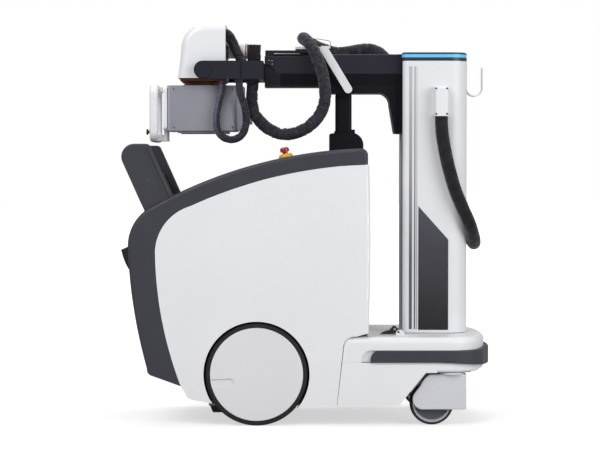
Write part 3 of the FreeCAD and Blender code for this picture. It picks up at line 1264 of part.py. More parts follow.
HEAD_HOSE = [(HOSE_X, 0, 1250.0), (HOSE_X, 0, ROLL_Z)]
LOOP_HOSE = [(HOSE_X, 0, ROLL_Z), (HOSE_X, 0, 1188.0), (-190.0, -7, 1146.0), (-193.0, -20, 1102.0),
             (-180.0, -34, 1060.0), (-151.0, -47, 1025.0), (-115.0, -61, 1001.0), (-74.0, -76, 991.0),
             (-34.0, -90, 996.0), (8.0, -101, 1017.0), (43.0, -107, 1050.0), (63.0, -111, 1091.0),
             (68.0, -113, 1136.0), (61.0, -113, 1182.0), (51.0, -113, 1227.0), (33.0, -112, 1270.0),
             (14.0, -101, 1305.0), (-6.0, -65, 1330.0), (-13.0, -16, 1331.0), (-3.0, 33, 1327.0),
             (34.0, 76, 1311.0), (82.0, 99, 1292.0), (130.0, 103, 1286.0), (180.0, 101, 1298.0),
             (228.0, 100, 1303.0), (266.0, 100, 1289.0), (294.0, 99, 1257.0), (302.0, 99, 1218.0),
             (302.0, 99, 1188.0)]
COLLIMATOR_CORD = [(-290.0, -116, FLANGE_Z0), (-290.0, -116, 1146.0), (-304.0, -120, 1098.0),
                   (-312.0, -122, 1048.0), (-309.0, -122, 1004.0), (-282.0, -122, 975.0),
                   (-241.0, -122, 973.0), (-212.0, -122, 1000.0), (-206.0, -122, 1048.0),
                   (-214.0, -128, 1096.0), (-231.0, -140.5, 1138.0),
                   (-231.0, -140.5, ROLL_Z - FORK_HEIGHT / 2 - 14)]
LOOP_HALF = [(467.0, -SLEEVE_Y, JUNCTION_Z0), (467.0, -SLEEVE_Y, 1012.0), (475.0, -136.0, 960.0),
             (483.0, -137.0, 915.0), (496.0, -137.5, 862.0), (514.0, -136.0, 800.0),
             (539.0, -131.0, 742.0), (569.0, -121.0, 680.0), (592.5, -51.8, 611.0)]


def hoses():
    cord("head_hose", HEAD_HOSE, HOSE_D)
    cord("arm_hose", LOOP_HOSE, HOSE_D)
    cord("collimator_cord", COLLIMATOR_CORD, CORD_D)
    far = [(x, -y, z) for x, y, z in reversed(LOOP_HALF)]
    cord("column_cable", LOOP_HALF + far, SLEEVE_D)


def hose_gland():
    """Socket on the far flank of the arm that the hose enters."""
    end = Vector(*LOOP_HOSE[-1])
    box = block(end.x - 24, end.x + 19, ARM_HALF - 16, end.y + 24, 1140.0, end.z)
    box = round_edges(box, 6.0, lambda e: mid(e).y > end.y + 23.9)
    inside = bar(beam_section(ARM_HALF - 1, ARM_HALF_LOW - 1, ARM_TOP_Z, ARM_MID_Z, ARM_LOW_Z,
                              ARM_BOTTOM_Z, 6.0), end.x - 30, end.x + 30)
    return box.cut(inside)


def battery_pack():
    z0 = FLOOR_CLEARANCE + FLOOR_THICK
    cells = []
    for x in (-60.0, 36.0):
        cells.append(block(x, x + 88.0, -150.0, 150.0, z0, z0 + 150.0))
    strap = block(-60.0, 124.0, -30.0, 30.0, z0 + 150.0, z0 + 154.0)
    return fuse(cells + [strap])


def generator_box():
    box = block(-380.0, 110.0, -150.0, 150.0, 300.0, 560.0)
    return round_edges(box, 6.0, lambda e: abs(mid(e).z - 430) < 1)


def skid_plates():
    """Rubber deflectors in front of the rear wheels' path."""
    z1 = FLOOR_CLEARANCE
    shapes = []
    for sign in (-1, 1):
        y0, y1 = sorted((sign * 110.0, sign * 210.0))
        outline = ((-330.0, z1), (-322.0, z1 - 20), (-318.0, z1 - 24), (-290.0, z1 - 24),
                   (-282.0, z1 - 18), (-276.0, z1))
        shapes.append(slab(outline, y0, y1))
    return Part.makeCompound(shapes)


def build():
    band = console_band()
    tray = display_tray()
    outline = Part.Face(closed_wire(side(0), *body_outline()))
    whole = outline.extrude(Vector(0, 300, 0)).fuse(outline.extrude(Vector(0, -300, 0)))
    band = fuse([band, tray.common(whole)])
    band = band.cut(display_pocket()).cut(bin_opening()).cut(stop_hole())
    NODES["console_band"] = band
    both_sides("side_cover", side_cover())
    NODES["front_panel"] = front_panel()
    NODES["base_top_cover"] = fuse([base_top_cover()] + latch_ears())
    NODES["base_lower_cover"] = base_lower_cover()
    NODES["front_bumper"] = front_bumper()
    NODES["chassis_frame"] = chassis_frame()
    NODES["gear_motors"] = gear_motors()
    NODES["battery_pack"] = battery_pack()
    NODES["generator_box"] = generator_box()
    NODES["skid_plates"] = skid_plates()
    NODES["display_bezel"] = display_bezel()
    NODES["display_glass"] = display_glass()
    collar, button = emergency_stop()
    NODES["emergency_stop_collar"] = collar
    NODES["emergency_stop_button"] = button
    NODES["arm_dock"] = arm_dock()
    NODES["dock_pad"] = dock_pad()
    both_sides("cheek", cheek())
    NODES["grip_bar"] = grip_bar()
    NODES["enable_bar"] = enable_bar()
    NODES["detector_bin"] = detector_bin()
    NODES["accessory_pocket"] = accessory_pocket()
    NODES["latch_lever"] = latch_lever()
    tyre, disc = drive_wheel()
    both_sides("drive_tyre", tyre)
    both_sides("drive_wheel_disc", disc)
    fork, caster_tyre, hub = caster()
    both_sides("caster_fork", fork)
    both_sides("caster_tyre", caster_tyre)
    both_sides("caster_hub", hub)
    NODES["column_profile"] = column_profile()
    NODES["stripe_panel"] = stripe_panel()
    NODES["column_foot"] = column_foot()
    NODES["junction_boxes"] = junction_boxes()
    NODES["cable_hook"] = cable_hook()
    NODES["mast"] = mast()
    NODES["column_cap"] = column_cap()
    NODES["led_strip"] = led_strip()
    NODES["arm_outer"] = fuse([arm_outer(), hose_gland()])
    NODES["arm_carriage"] = arm_carriage()
    NODES["hose_bracket"] = hose_bracket()
    NODES["arm_inner"] = arm_inner()
    NODES["head_fork"] = head_fork()
    NODES["tube_shell"] = tube_shell()
    NODES["tube_insert"] = tube_insert()
    NODES["tube_flange"] = tube_flange()
    NODES["hv_connector"] = hv_connector()
    NODES["connector_boot"] = connector_boot()
    NODES["collimator_housing"] = collimator_housing()
    NODES["handle_panel"] = handle_panel()
    NODES["handle_button"] = handle_button()
    hoses()
    os.makedirs("parts", exist_ok=True)
    for name, shape in NODES.items():
        shape.exportStep("parts/" + name + ".step")


build()
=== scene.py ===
"""Looks of the mobile x-ray machine: hoses, small fittings, finishes, lights and camera."""
import json
import math

import bmesh
import bpy
from mathutils import Matrix, Vector, kdtree, noise

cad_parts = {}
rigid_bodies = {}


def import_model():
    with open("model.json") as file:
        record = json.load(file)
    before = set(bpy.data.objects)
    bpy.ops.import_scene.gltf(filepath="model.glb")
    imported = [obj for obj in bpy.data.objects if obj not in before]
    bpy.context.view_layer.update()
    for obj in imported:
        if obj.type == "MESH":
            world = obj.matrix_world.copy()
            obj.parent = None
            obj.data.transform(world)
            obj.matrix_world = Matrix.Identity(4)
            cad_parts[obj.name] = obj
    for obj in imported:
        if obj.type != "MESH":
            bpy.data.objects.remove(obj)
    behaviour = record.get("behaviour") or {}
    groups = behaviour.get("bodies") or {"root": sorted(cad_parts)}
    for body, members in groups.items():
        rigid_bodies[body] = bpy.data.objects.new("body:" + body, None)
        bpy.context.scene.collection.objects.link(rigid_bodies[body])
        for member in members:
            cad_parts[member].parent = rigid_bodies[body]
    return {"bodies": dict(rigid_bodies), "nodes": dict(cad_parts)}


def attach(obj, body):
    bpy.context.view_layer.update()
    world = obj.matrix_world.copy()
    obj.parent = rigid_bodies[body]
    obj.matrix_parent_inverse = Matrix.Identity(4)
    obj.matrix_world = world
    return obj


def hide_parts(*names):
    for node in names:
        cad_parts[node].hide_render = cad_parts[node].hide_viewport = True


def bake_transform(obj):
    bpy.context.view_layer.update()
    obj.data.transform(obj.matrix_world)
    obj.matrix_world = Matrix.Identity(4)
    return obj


bl_info = {
    "name": "Mobile x-ray machine looks",
    "version": (1, 0, 0),
    "blender": (4, 5, 0),
    "location": "3D view, sidebar, Machine",
    "description": "Adds hoses, fittings and finishes to the machine and sets up its picture",
    "category": "Object",
}

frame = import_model()

# All lengths and places are in metres. X runs to the column, Y to the far side and Z up.
SIDES = (("near", -1.0), ("far", 1.0))
BLACK = (0.0, 0.0, 0.0, 1.0)
WHITE = (1.0, 1.0, 1.0, 1.0)

# Control points of the routes that the CAD's tubes follow too
ARM_HOSE_ROUTE = (
    (-0.187, 0.0, 1.214), (-0.187, 0.0, 1.188), (-0.190, -0.007, 1.146), (-0.193, -0.020, 1.102),
    (-0.180, -0.034, 1.060), (-0.151, -0.047, 1.025), (-0.115, -0.061, 1.001), (-0.074, -0.076, 0.991),
    (-0.034, -0.090, 0.996), (0.008, -0.101, 1.017), (0.043, -0.107, 1.050), (0.063, -0.111, 1.091),
    (0.068, -0.113, 1.136), (0.061, -0.113, 1.182), (0.051, -0.113, 1.227), (0.033, -0.112, 1.270),
    (0.014, -0.101, 1.305), (-0.006, -0.065, 1.330), (-0.013, -0.016, 1.331), (-0.003, 0.033, 1.327),
    (0.034, 0.076, 1.311), (0.082, 0.099, 1.292), (0.130, 0.103, 1.286), (0.180, 0.101, 1.298),
    (0.228, 0.100, 1.303), (0.266, 0.100, 1.289), (0.294, 0.099, 1.257), (0.302, 0.099, 1.218),
    (0.302, 0.099, 1.188),
)
COLLIMATOR_CORD_ROUTE = (
    (-0.290, -0.116, 1.176), (-0.290, -0.116, 1.146), (-0.304, -0.120, 1.098),
    (-0.312, -0.122, 1.048), (-0.309, -0.122, 1.004), (-0.282, -0.122, 0.975),
    (-0.241, -0.122, 0.973), (-0.212, -0.122, 1.000), (-0.206, -0.122, 1.048),
    (-0.214, -0.128, 1.096), (-0.231, -0.1405, 1.138), (-0.231, -0.1405, 1.169),
)
COLUMN_LOOP_HALF = (
    (0.467, -0.135, 1.0546), (0.467, -0.135, 1.012), (0.475, -0.136, 0.960), (0.483, -0.137, 0.915),
    (0.496, -0.1375, 0.862), (0.514, -0.136, 0.800), (0.539, -0.131, 0.742), (0.569, -0.121, 0.680),
    (0.5925, -0.0518, 0.611),
)

# Control points of the routes that are drawn here alone
BOOT_ROUTE = (
    (-0.2065, 0.0, 1.287), (-0.196, 0.0, 1.288), (-0.184, 0.0, 1.284), (-0.180, 0.0, 1.268),
    (-0.184, 0.0, 1.246), (-0.187, 0.0, 1.222), (-0.187, 0.0, 1.206),
)
HEAD_LEAD_ROUTE = (
    (-0.312, -0.036, 1.336), (-0.288, -0.043, 1.350), (-0.268, -0.049, 1.338), (-0.254, -0.051, 1.308),
    (-0.238, -0.050, 1.274), (-0.222, -0.044, 1.240), (-0.206, -0.030, 1.208), (-0.194, -0.014, 1.178),
)
TIE_WIRE_ROUTE = (
    (0.020, -0.119, 1.316), (0.034, -0.126, 1.322), (0.050, -0.122, 1.320), (0.066, -0.108, 1.318),
    (0.080, -0.094, 1.318), (0.087, -0.086, 1.308), (0.084, -0.080, 1.294),
)
BOOT_DIAMETER = 0.0425
HEAD_LEAD_DIAMETER = 0.034
TIE_WIRE_DIAMETER = 0.0020

# Noise of the sleeves' folds: its pace along the sleeve, in fold pitches, and round the sleeve
WANDER_PACE, WANDER_TURN, WANDER_REACH = 0.35, 1.3, 1.6
RIDGE_TURN = 0.7
SMALL_PACE, SMALL_TURN, SMALL_SHARE = 2.6, 1.6, 0.3
CREASE_DEPTH, CREASE_SHARPNESS = 0.9, 5.0

# Cuff at the boot's upper end
CUFF_CENTRE = (-0.1845, 0.0, 1.272)
CUFF_LOW_RADIUS, CUFF_HIGH_RADIUS, CUFF_HEIGHT = 0.0215, 0.0240, 0.074
CUFF_FOLD, CUFF_RAG, CUFF_RAG_REACH, CUFF_THICKNESS = 0.0038, 0.0065, 0.03, 0.0012

# Screws: name, body, (x, z) of each, distance from the middle plane, head's radius and height, metal
SCREW_SETS = (
    ("junction_screws_", "column", tuple((x, z) for x in (0.4475, 0.4845) for z in (1.062, 1.1495)),
     0.158, 0.0033, 0.0014, "dark"),
    ("arm_screws_", "arm_slide", ((-0.1297, 1.2507), (-0.1192, 1.2493), (-0.1182, 1.2374)),
     0.069, 0.0021, 0.0010, "bright"),
    ("collimator_screws_", "collimator", tuple((x, z) for x in (-0.4600, -0.2560) for z in (1.016, 1.150)),
     0.100, 0.0024, 0.0011, "dark"),
)
SCREW_SINK = 0.0002

# Linings of the column's three grooves: X of the walls, Y of the lining's back and face, Z of its ends;
# the two wide grooves have a middle strip between two narrow, darker edges, painted shade along the groove
# walls
GROOVES = ((0.3570, 0.3675), (0.3745, 0.3795), (0.3830, 0.3850))
GROOVE_FLOOR_Y, GROOVE_FACE_Y = 0.1080, 0.1087
GROOVE_LOW_Z, GROOVE_HIGH_Z = 0.3155, 1.2275
LINING_GAP, EDGE_WIDTH, MIDDLE_INSET = 0.0001, 0.0011, 0.0014
# X up to which the column's covered slot is dark
SLOT_X = 0.3348

# Small fittings; the far side's pieces have their Y turned round
CONNECTOR_RING = ((-0.2110, 0.0, 1.287), (1.0, 0.0, 0.0), 0.0262, 0.0040)
TRAY_STRIP = ((-0.112, -0.0552, 1.2735), (-0.0215, -0.0538, 1.2765), 0.0004)
KEY_RING_PLACE, KEY_RING_RADIUS, KEY_RING_THICKNESS = (-0.5419, 0.2622, 0.8363), 0.0075, 0.0022
KEY_SCREW_PLACE, KEY_SCREW_RADIUS, KEY_SCREW_HEIGHT = (-0.5330, 0.2621, 0.8156), 0.0026, 0.0010
CHEEK_GROOVE = ((-0.5427, 0.9451), (-0.4668, 0.7773))
CHEEK_GROOVE_Y, CHEEK_GROOVE_WIDTH, CHEEK_GROOVE_DEPTH = 0.2619, 0.0024, 0.0011
WELL_PLACE, WELL_RADIUS, WELL_WIDTH, WELL_FOOT_Z = (-0.169, 0.2166, 0.175), 0.1835, 0.030, 0.078
WELL_FLATNESS, WELL_STEPS = 0.07, 96
CASTER_HUB_PLACE = (0.4275, 0.0, 0.075)
CASTER_RING = (0.0575, 0.0650)

# Lamps: name, the setting with its power, place and size; each is aimed at the machine's middle
LAMPS = (
    ("key_lamp", "key_power", (-3.0, -4.0, 4.9), 3.6),
    ("fill_lamp", "fill_power", (4.2, -4.0, 2.6), 3.8),
    ("top_lamp", "top_power", (0.2, 2.0, 5.0), 4.2),
)
LAMP_AIM = (0.0, 0.0, 0.65)

# Floor: half its length, its height, and its own glow from a near to a far distance
FLOOR_SIZE, FLOOR_Z = 40.0, -0.0002
GLOW_NEAR, GLOW_FAR, GLOW_LOW, GLOW_HIGH = 1.6, 5.0, 0.60, 1.1

# Moulded and painted slots: colour on screen, roughness, grain's scale and height, coat, mottle
MOULDED = {
    "white_cover": ((234, 235, 238), (0.3, 0.42), 700.0, 0.12, 0.15, 0.02),
    "wheel_white": ((226, 226, 230), (0.36, 0.48), 600.0, 0.2, 0.05, 0.03),
    "hook_white": ((226, 227, 230), (0.3, 0.42), 600.0, 0.12, 0.1, 0.02),
    "connector_white": ((220, 221, 224), (0.34, 0.5), 700.0, 0.2, 0.0, 0.05),
    "dark_cover": ((52, 52, 62), (0.44, 0.58), 1100.0, 0.6, 0.0, 0.06),
    "cap_plastic": ((48, 49, 58), (0.3, 0.42), 900.0, 0.3, 0.1, 0.06),
    "bin_plastic": ((25, 25, 30), (0.4, 0.55), 900.0, 0.5, 0.0, 0.1),
    "latch_plastic": ((18, 18, 22), (0.34, 0.5), 900.0, 0.4, 0.0, 0.1),
    "caster_grey": ((208, 209, 214), (0.36, 0.5), 800.0, 0.3, 0.05, 0.04),
    "stop_red": ((176, 22, 26), (0.22, 0.34), 600.0, 0.15, 0.3, 0.04),
    "stop_yellow": ((224, 176, 22), (0.3, 0.42), 600.0, 0.2, 0.1, 0.04),
    "battery_case": ((38, 40, 46), (0.4, 0.6), 700.0, 0.5, 0.0, 0.12),
}
# Metal slots: colour on screen, roughness, and the stretch that turns noise into fine lines
METALS = {
    "frame_steel": ((126, 128, 132), (0.4, 0.56), (200.0, 4.0, 4.0)),
    "bearing_steel": ((150, 152, 156), (0.28, 0.42), (4.0, 4.0, 260.0)),
    "mast_alloy": ((186, 188, 192), (0.3, 0.44), (220.0, 220.0, 3.0)),
    "tube_steel": ((112, 114, 120), (0.36, 0.5), (4.0, 200.0, 4.0)),
    "flange_bronze": ((106, 70, 54), (0.34, 0.48), (4.0, 4.0, 120.0)),
}
# Rubber slots: colour on screen and roughness
RUBBERS = {
    "grip_rubber": ((44, 44, 50), (0.5, 0.66)),
    "black_rubber": ((22, 22, 25), (0.62, 0.8)),
    "tyre_black": ((16, 16, 22), (0.5, 0.7)),
    "caster_rubber": ((22, 22, 26), (0.55, 0.74)),
}
# Edges along X past which the collimator's colour is lighter: X, softness (below 0 where the lighter
# side is the lower X) and gain; the first is the lighter rear panel, the other two a painted highlight on
# the left corner
COLLIMATOR_PANEL_AND_HIGHLIGHT_EDGES = ((-0.2162, 0.0002, 1.9), (-0.4740, -0.0030, 1.45), (-0.4870, -0.0015, 2.0))
# Narrow spans over which the arm's colour changes: at its flanks' seam, below which painted shade darkens
# the slanted lower flanks, and where it starts along X
ARM_SEAM_Z = (1.2042, 1.2048)
ARM_START_X = (-0.0905, -0.0900)


class MachineSleeveSettings(bpy.types.PropertyGroup):
    """Sizes of the fabric sleeves and their folds."""
    fold_depth: bpy.props.FloatProperty(
        name="Fold depth", description="How far the creases of the wide sleeve go in",
        default=0.0052, min=0.0, max=0.008, unit="LENGTH")
    fold_pitch: bpy.props.FloatProperty(
        name="Fold pitch", description="Distance along the sleeve from one crease to the next",
        default=0.017, min=0.002, max=0.1, unit="LENGTH")
    wide_diameter: bpy.props.FloatProperty(
        name="Arm sleeve", description="Diameter of the sleeve over the arm's hose",
        default=0.040, min=0.01, max=0.08, unit="LENGTH")
    column_diameter: bpy.props.FloatProperty(
        name="Column sleeve", description="Diameter of the sleeve that hangs from the column",
        default=0.045, min=0.01, max=0.08, unit="LENGTH")
    narrow_diameter: bpy.props.FloatProperty(
        name="Narrow sleeve", description="Diameter of the collimator's sleeve",
        default=0.025, min=0.005, max=0.05, unit="LENGTH")


class MachineFinishSettings(bpy.types.PropertyGroup):
    """Strength of the small variations in the moulded and painted finishes."""
    mottle: bpy.props.FloatProperty(
        name="Mottle", description="Colour wander, as a multiple of each finish's own",
        default=1.0, min=0.0, max=4.0)
    grain: bpy.props.FloatProperty(
        name="Grain", description="Height of the fine texture, as a multiple of each finish's own",
        default=1.0, min=0.0, max=4.0)


class MachineStageSettings(bpy.types.PropertyGroup):
    """Lamps, floor and camera."""
    key_power: bpy.props.FloatProperty(
        name="Key lamp", description="Power of the large lamp in front on the left",
        default=206.0, min=0.0, unit="POWER")
    fill_power: bpy.props.FloatProperty(
        name="Fill lamp", description="Power of the large lamp in front on the right",
        default=160.0, min=0.0, unit="POWER")
    top_power: bpy.props.FloatProperty(
        name="Top lamp", description="Power of the lamp overhead",
        default=122.0, min=0.0, unit="POWER")
    room_light: bpy.props.FloatProperty(
        name="Room light", description="Strength of the even light from all round",
        default=0.36, min=0.0)
    camera_place: bpy.props.FloatVectorProperty(
        name="Camera place", description="Where the camera stands",
        default=(-0.0215, -6.4775, 0.8688), size=3, subtype="TRANSLATION", unit="LENGTH")
    camera_pitch: bpy.props.FloatProperty(
        name="Camera pitch", description="Angle of the camera up from looking straight down",
        default=math.radians(88.282), subtype="ANGLE", unit="ROTATION")
    lens: bpy.props.FloatProperty(
        name="Lens", description="Focal length on a sensor 36 mm wide, in millimetres",
        default=110.04, min=10.0)


# Colours
def tone(red, green, blue):
    """A colour as seen on screen, 0 to 255 each, turned into the shader's linear values."""
    def linear(value):
        share = value / 255
        return share / 12.92 if share <= 0.04045 else ((share + 0.055) / 1.055) ** 2.4
    return (linear(red), linear(green), linear(blue), 1.0)


def shade(colour, factor):
    """A colour made lighter or darker by a factor."""
    return (colour[0] * factor, colour[1] * factor, colour[2] * factor, 1.0)


# Material building
class Nodes:
    """Short hand for building one material's node tree on Object coordinates."""

    def __init__(self, name):
        self.material = bpy.data.materials.new(name)
        self.material.use_nodes = True
        self.tree = self.material.node_tree
        self.shader = self.tree.nodes["Principled BSDF"]
        self.place = self.tree.nodes.new("ShaderNodeTexCoord").outputs["Object"]

    def add(self, kind, values=(), **settings):
        """A new node with some inputs' values and some settings of its own."""
        node = self.tree.nodes.new(kind)
        for key, value in settings.items():
            setattr(node, key, value)
        for key, value in dict(values).items():
            node.inputs[key].default_value = value
        return node

    def feed(self, value, socket):
        """Link a socket to the input, or set the input to a number or colour."""
        if isinstance(value, bpy.types.NodeSocket):
            self.tree.links.new(value, socket)
        else:
            socket.default_value = value

    def constants(self, values):
        """Plain values of the shader's own inputs."""
        for key, value in values.items():
            self.shader.inputs[key].default_value = value

    def noise(self, scale, detail=3.0, rough=0.5, stretch=None):
        """A noise texture, stretched along the axes if wanted."""
        texture = self.add("ShaderNodeTexNoise", {"Scale": scale, "Detail": detail, "Roughness": rough})
        source = self.place
        if stretch:
            turn = self.add("ShaderNodeMapping", {"Scale": stretch})
            self.feed(source, turn.inputs["Vector"])
            source = turn.outputs["Vector"]
        self.feed(source, texture.inputs["Vector"])
        return texture.outputs["Fac"]

    def spread(self, value, low, high, to_low=0.0, to_high=1.0):
        """The value's span from low to high carried over to another span."""
        span = self.add("ShaderNodeMapRange", {"From Min": low, "From Max": high,
                                               "To Min": to_low, "To Max": to_high})
        self.feed(value, span.inputs["Value"])
        return span.outputs["Result"]

    def blend(self, share, first, second):
        """Two colours mixed; share and colours may be sockets or values."""
        mix = self.add("ShaderNodeMix", data_type="RGBA")
        for value, index in ((share, 0), (first, 6), (second, 7)):
            self.feed(value, mix.inputs[index])
        return mix.outputs[2]

    def maths(self, operation, *values):
        """Result of one sum; its values may be sockets or numbers."""
        node = self.add("ShaderNodeMath", operation=operation)
        for value, socket in zip(values, node.inputs):
            self.feed(value, socket)
        return node.outputs[0]

    def attribute(self, name, output="Fac"):
        """A value that the mesh carries on its points."""
        return self.add("ShaderNodeAttribute", attribute_name=name).outputs[output]

    def coordinate(self, axis):
        """The Object coordinate along one axis, 0 to 2."""
        parts = self.add("ShaderNodeSeparateXYZ")
        self.feed(self.place, parts.inputs["Vector"])
        return parts.outputs[axis]

    def bump(self, value, strength, distance):
        """Fine relief from a value."""
        relief = self.add("ShaderNodeBump", {"Strength": strength, "Distance": distance})
        self.feed(value, relief.inputs["Height"])
        self.feed(relief.outputs["Normal"], self.shader.inputs["Normal"])

    def colour(self, value):
        """Set the shader's colour."""
        self.feed(value, self.shader.inputs["Base Color"])

    def painted(self):
        """The socket that feeds the shader's colour so far."""
        return self.shader.inputs["Base Color"].links[0].from_socket

    def roughness(self, value, low, high):
        """Set the shader's roughness, following a noise."""
        self.feed(self.spread(value, 0.3, 0.7, low, high), self.shader.inputs["Roughness"])


def moulded(name, colour, rough, grain_scale, grain, coat, mottle):
    """Moulded or painted piece: slow colour wander, fine grain and a roughness that varies."""
    settings = bpy.context.scene.machine_finish
    mottle *= settings.mottle
    n = Nodes(name)
    slow = n.spread(n.noise(3.0, 4.0), 0.3, 0.7)
    fine = n.noise(grain_scale, 2.0, 0.6)
    soft = n.blend(slow, shade(colour, 1 - mottle), shade(colour, 1 + mottle * 0.6))
    n.colour(n.blend(n.spread(fine, 0.45, 0.62, 0.0, 0.12), soft, shade(colour, 0.72)))
    n.roughness(n.noise(14.0, 3.0), *rough)
    n.bump(fine, grain * settings.grain, 0.0004)
    n.constants({"Coat Weight": coat, "Coat Roughness": 0.18})
    return n


def metal(name, colour, rough, stretch):
    """Metal with fine lines along one way."""
    n = Nodes(name)
    lines = n.noise(9.0, 3.0, 0.6, stretch)
    n.colour(n.blend(n.spread(lines, 0.35, 0.65), shade(colour, 0.86), shade(colour, 1.08)))
    n.roughness(lines, *rough)
    n.bump(lines, 0.12, 0.0003)
    n.constants({"Metallic": 1.0})
    return n


def fabric(name, colour, crest_highlight=0.8):
    """Woven sleeve with painted highlights on its folds' crests and its lit side, and painted shade in its
    creases.
    """
    n = Nodes(name)
    warp = n.noise(1500.0, 1.0, 0.4, (1.0, 1.0, 0.35))
    weft = n.noise(1500.0, 1.0, 0.4, (0.35, 0.35, 1.0))
    threads = n.maths("MAXIMUM", warp, weft)
    slow = n.spread(n.noise(26.0, 4.0, 0.6), 0.35, 0.68)
    crest = n.attribute("fold_crest")
    worn = n.blend(slow, shade(colour, 0.5), shade(colour, 1.25))
    # Painted shade darkens the creases
    sunk = n.blend(n.spread(crest, 0.1, 0.55, 0.9, 0.0), worn, shade(colour, 0.2))
    # Painted highlight on the folds' crests, as strong as crest_highlight gives
    lifted = n.blend(n.spread(crest, 0.55, 0.9, 0.0, crest_highlight), sunk, shade(colour, 3.3))
    # Painted highlight on the sleeve's lit side
    side_lit = n.blend(n.attribute("pale_side"), lifted, shade(colour, 6.0))
    ridges = n.add("ShaderNodeTexNoise", {"Scale": 0.8, "Detail": 0.0, "Distortion": 0.3})
    n.feed(n.attribute("sleeve_place", "Vector"), ridges.inputs["Vector"])
    from_crease = n.maths("ABSOLUTE", n.maths("SUBTRACT", ridges.outputs["Fac"], 0.5))
    # Painted shade in the creases on the inside of bends
    pinched = n.maths("MULTIPLY", n.spread(from_crease, 0.0, 0.06, 1.0, 0.0), n.attribute("bend_share"))
    creased = n.blend(pinched, side_lit, shade(colour, 0.12))
    n.colour(n.blend(n.spread(threads, 0.4, 0.7, 0.0, 0.4), creased, shade(colour, 0.55)))
    n.roughness(slow, 0.74, 0.92)
    n.bump(n.maths("MULTIPLY_ADD", threads, 0.06, n.spread(from_crease, 0.0, 0.2)), 0.5, 0.005)
    n.constants({"Sheen Weight": 0.25, "Sheen Roughness": 0.5, "Specular IOR Level": 0.3})
    return n


def speckled(name, colour, dots, rough=(0.42, 0.58), lighter=()):
    """Hammer paint: speckle over the ground colour, lighter past each given edge."""
    n = Nodes(name)
    coarse = n.noise(420.0, 2.0, 0.7)
    fine = n.noise(1400.0, 1.0, 0.5)
    slow = n.spread(n.noise(4.0, 3.0), 0.3, 0.7)
    ground = n.blend(slow, shade(colour, 0.93), shade(colour, 1.05))
    dotted = n.blend(n.spread(coarse, 0.54, 0.6, 0.0, 0.75), ground, dots)
    paint = n.blend(n.spread(fine, 0.56, 0.62, 0.0, 0.5), dotted, shade(colour, 1.3))
    # Past each edge the colour is made lighter; the caller's list tells a lighter panel from a painted
    # highlight
    for edge, reach, gain in lighter:
        paint = n.blend(n.spread(n.coordinate(0), edge - reach, edge + reach), paint, shade(colour, gain))
    n.colour(paint)
    n.roughness(coarse, *rough)
    n.bump(coarse, 0.35, 0.0004)
    return n


def banded(name, upper, lower, edge, softness):
    """Colour going from a lower to an upper tone over a soft span round a height, darker towards the
    bottom.
    """
    n = Nodes(name)
    fine = n.noise(800.0, 2.0, 0.6)
    both = n.blend(n.spread(n.coordinate(2), edge - softness, edge + softness), lower, upper)
    n.colour(n.blend(n.spread(fine, 0.42, 0.66, 0.0, 0.35), both, n.blend(0.5, both, BLACK)))
    n.roughness(n.noise(11.0, 3.0), 0.38, 0.52)
    n.bump(fine, 0.3, 0.0004)
    return n


def arm_paint(upper, lower):
    """Powder coat of the arm, with painted shade on the flanks below their seam; the fork is one tone
    throughout.
    """
    n = Nodes("charcoal_metal_look")
    fine = n.noise(800.0, 2.0, 0.6)
    # Painted shade: the slanted lower flanks are darker below the seam
    below = n.spread(n.coordinate(2), *ARM_SEAM_Z, 1.0, 0.0)
    behind = n.spread(n.coordinate(0), *ARM_START_X)
    paint = n.blend(n.maths("MULTIPLY", below, behind), upper, lower)
    wander = n.blend(n.spread(n.noise(5.0, 3.0), 0.3, 0.7, 0.0, 0.25), paint, BLACK)
    n.colour(n.blend(n.spread(fine, 0.42, 0.66, 0.0, 0.3), wander, n.blend(0.5, paint, BLACK)))
    n.roughness(n.noise(11.0, 3.0), 0.42, 0.56)
    n.bump(fine, 0.3, 0.0004)
    n.constants({"Specular IOR Level": 0.2})
    return n


def slotted_column(colour, dark):
    """Powder coat of the column, its face by the arm dark where the lift's slot is covered."""
    n = moulded("column_white_look", colour, (0.34, 0.46), 700.0, 0.12, 0.1, 0.025)
    n.colour(n.blend(n.spread(n.coordinate(0), SLOT_X - 0.0001, SLOT_X + 0.0001), dark, n.painted()))
    return n


def lined(name, low, high):
    """Lining of the column's grooves, dark along the foot and pale towards the top."""
    n = Nodes(name)
    ground = n.blend(n.spread(n.coordinate(2), 0.55, 1.16), low, high)
    fine = n.noise(600.0, 2.0)
    n.colour(n.blend(n.spread(fine, 0.45, 0.65, 0.0, 0.2), ground, n.blend(0.4, ground, BLACK)))
    n.roughness(fine, 0.5, 0.62)
    n.bump(fine, 0.2, 0.0003)
    return n


def rubber(name, colour, rough):
    """Rubber with a dull, slightly dusty surface."""
    n = Nodes(name)
    dust = n.noise(60.0, 5.0, 0.7)
    n.colour(n.blend(n.spread(dust, 0.52, 0.7, 0.0, 0.4), colour, shade(colour, 2.2)))
    n.roughness(dust, *rough)
    n.bump(n.noise(700.0, 2.0), 0.3, 0.0004)
    return n


def ringed_hub(name, colour, pale):
    """Plastic of the casters' hubs with a paler ring round the rim, as seen from the side."""
    n = moulded(name, colour, (0.4, 0.54), 800.0, 0.4, 0.0, 0.08)
    flat = n.add("ShaderNodeCombineXYZ")
    n.feed(n.coordinate(0), flat.inputs[0])
    n.feed(n.coordinate(2), flat.inputs[2])
    away = n.add("ShaderNodeVectorMath", {1: CASTER_HUB_PLACE}, operation="DISTANCE")
    n.feed(flat.outputs[0], away.inputs[0])
    past_inner, past_outer = (n.spread(away.outputs["Value"], edge - 0.0004, edge + 0.0004)
                              for edge in CASTER_RING)
    ground = n.painted()
    n.colour(n.blend(past_outer, n.blend(past_inner, ground, pale), ground))
    return n


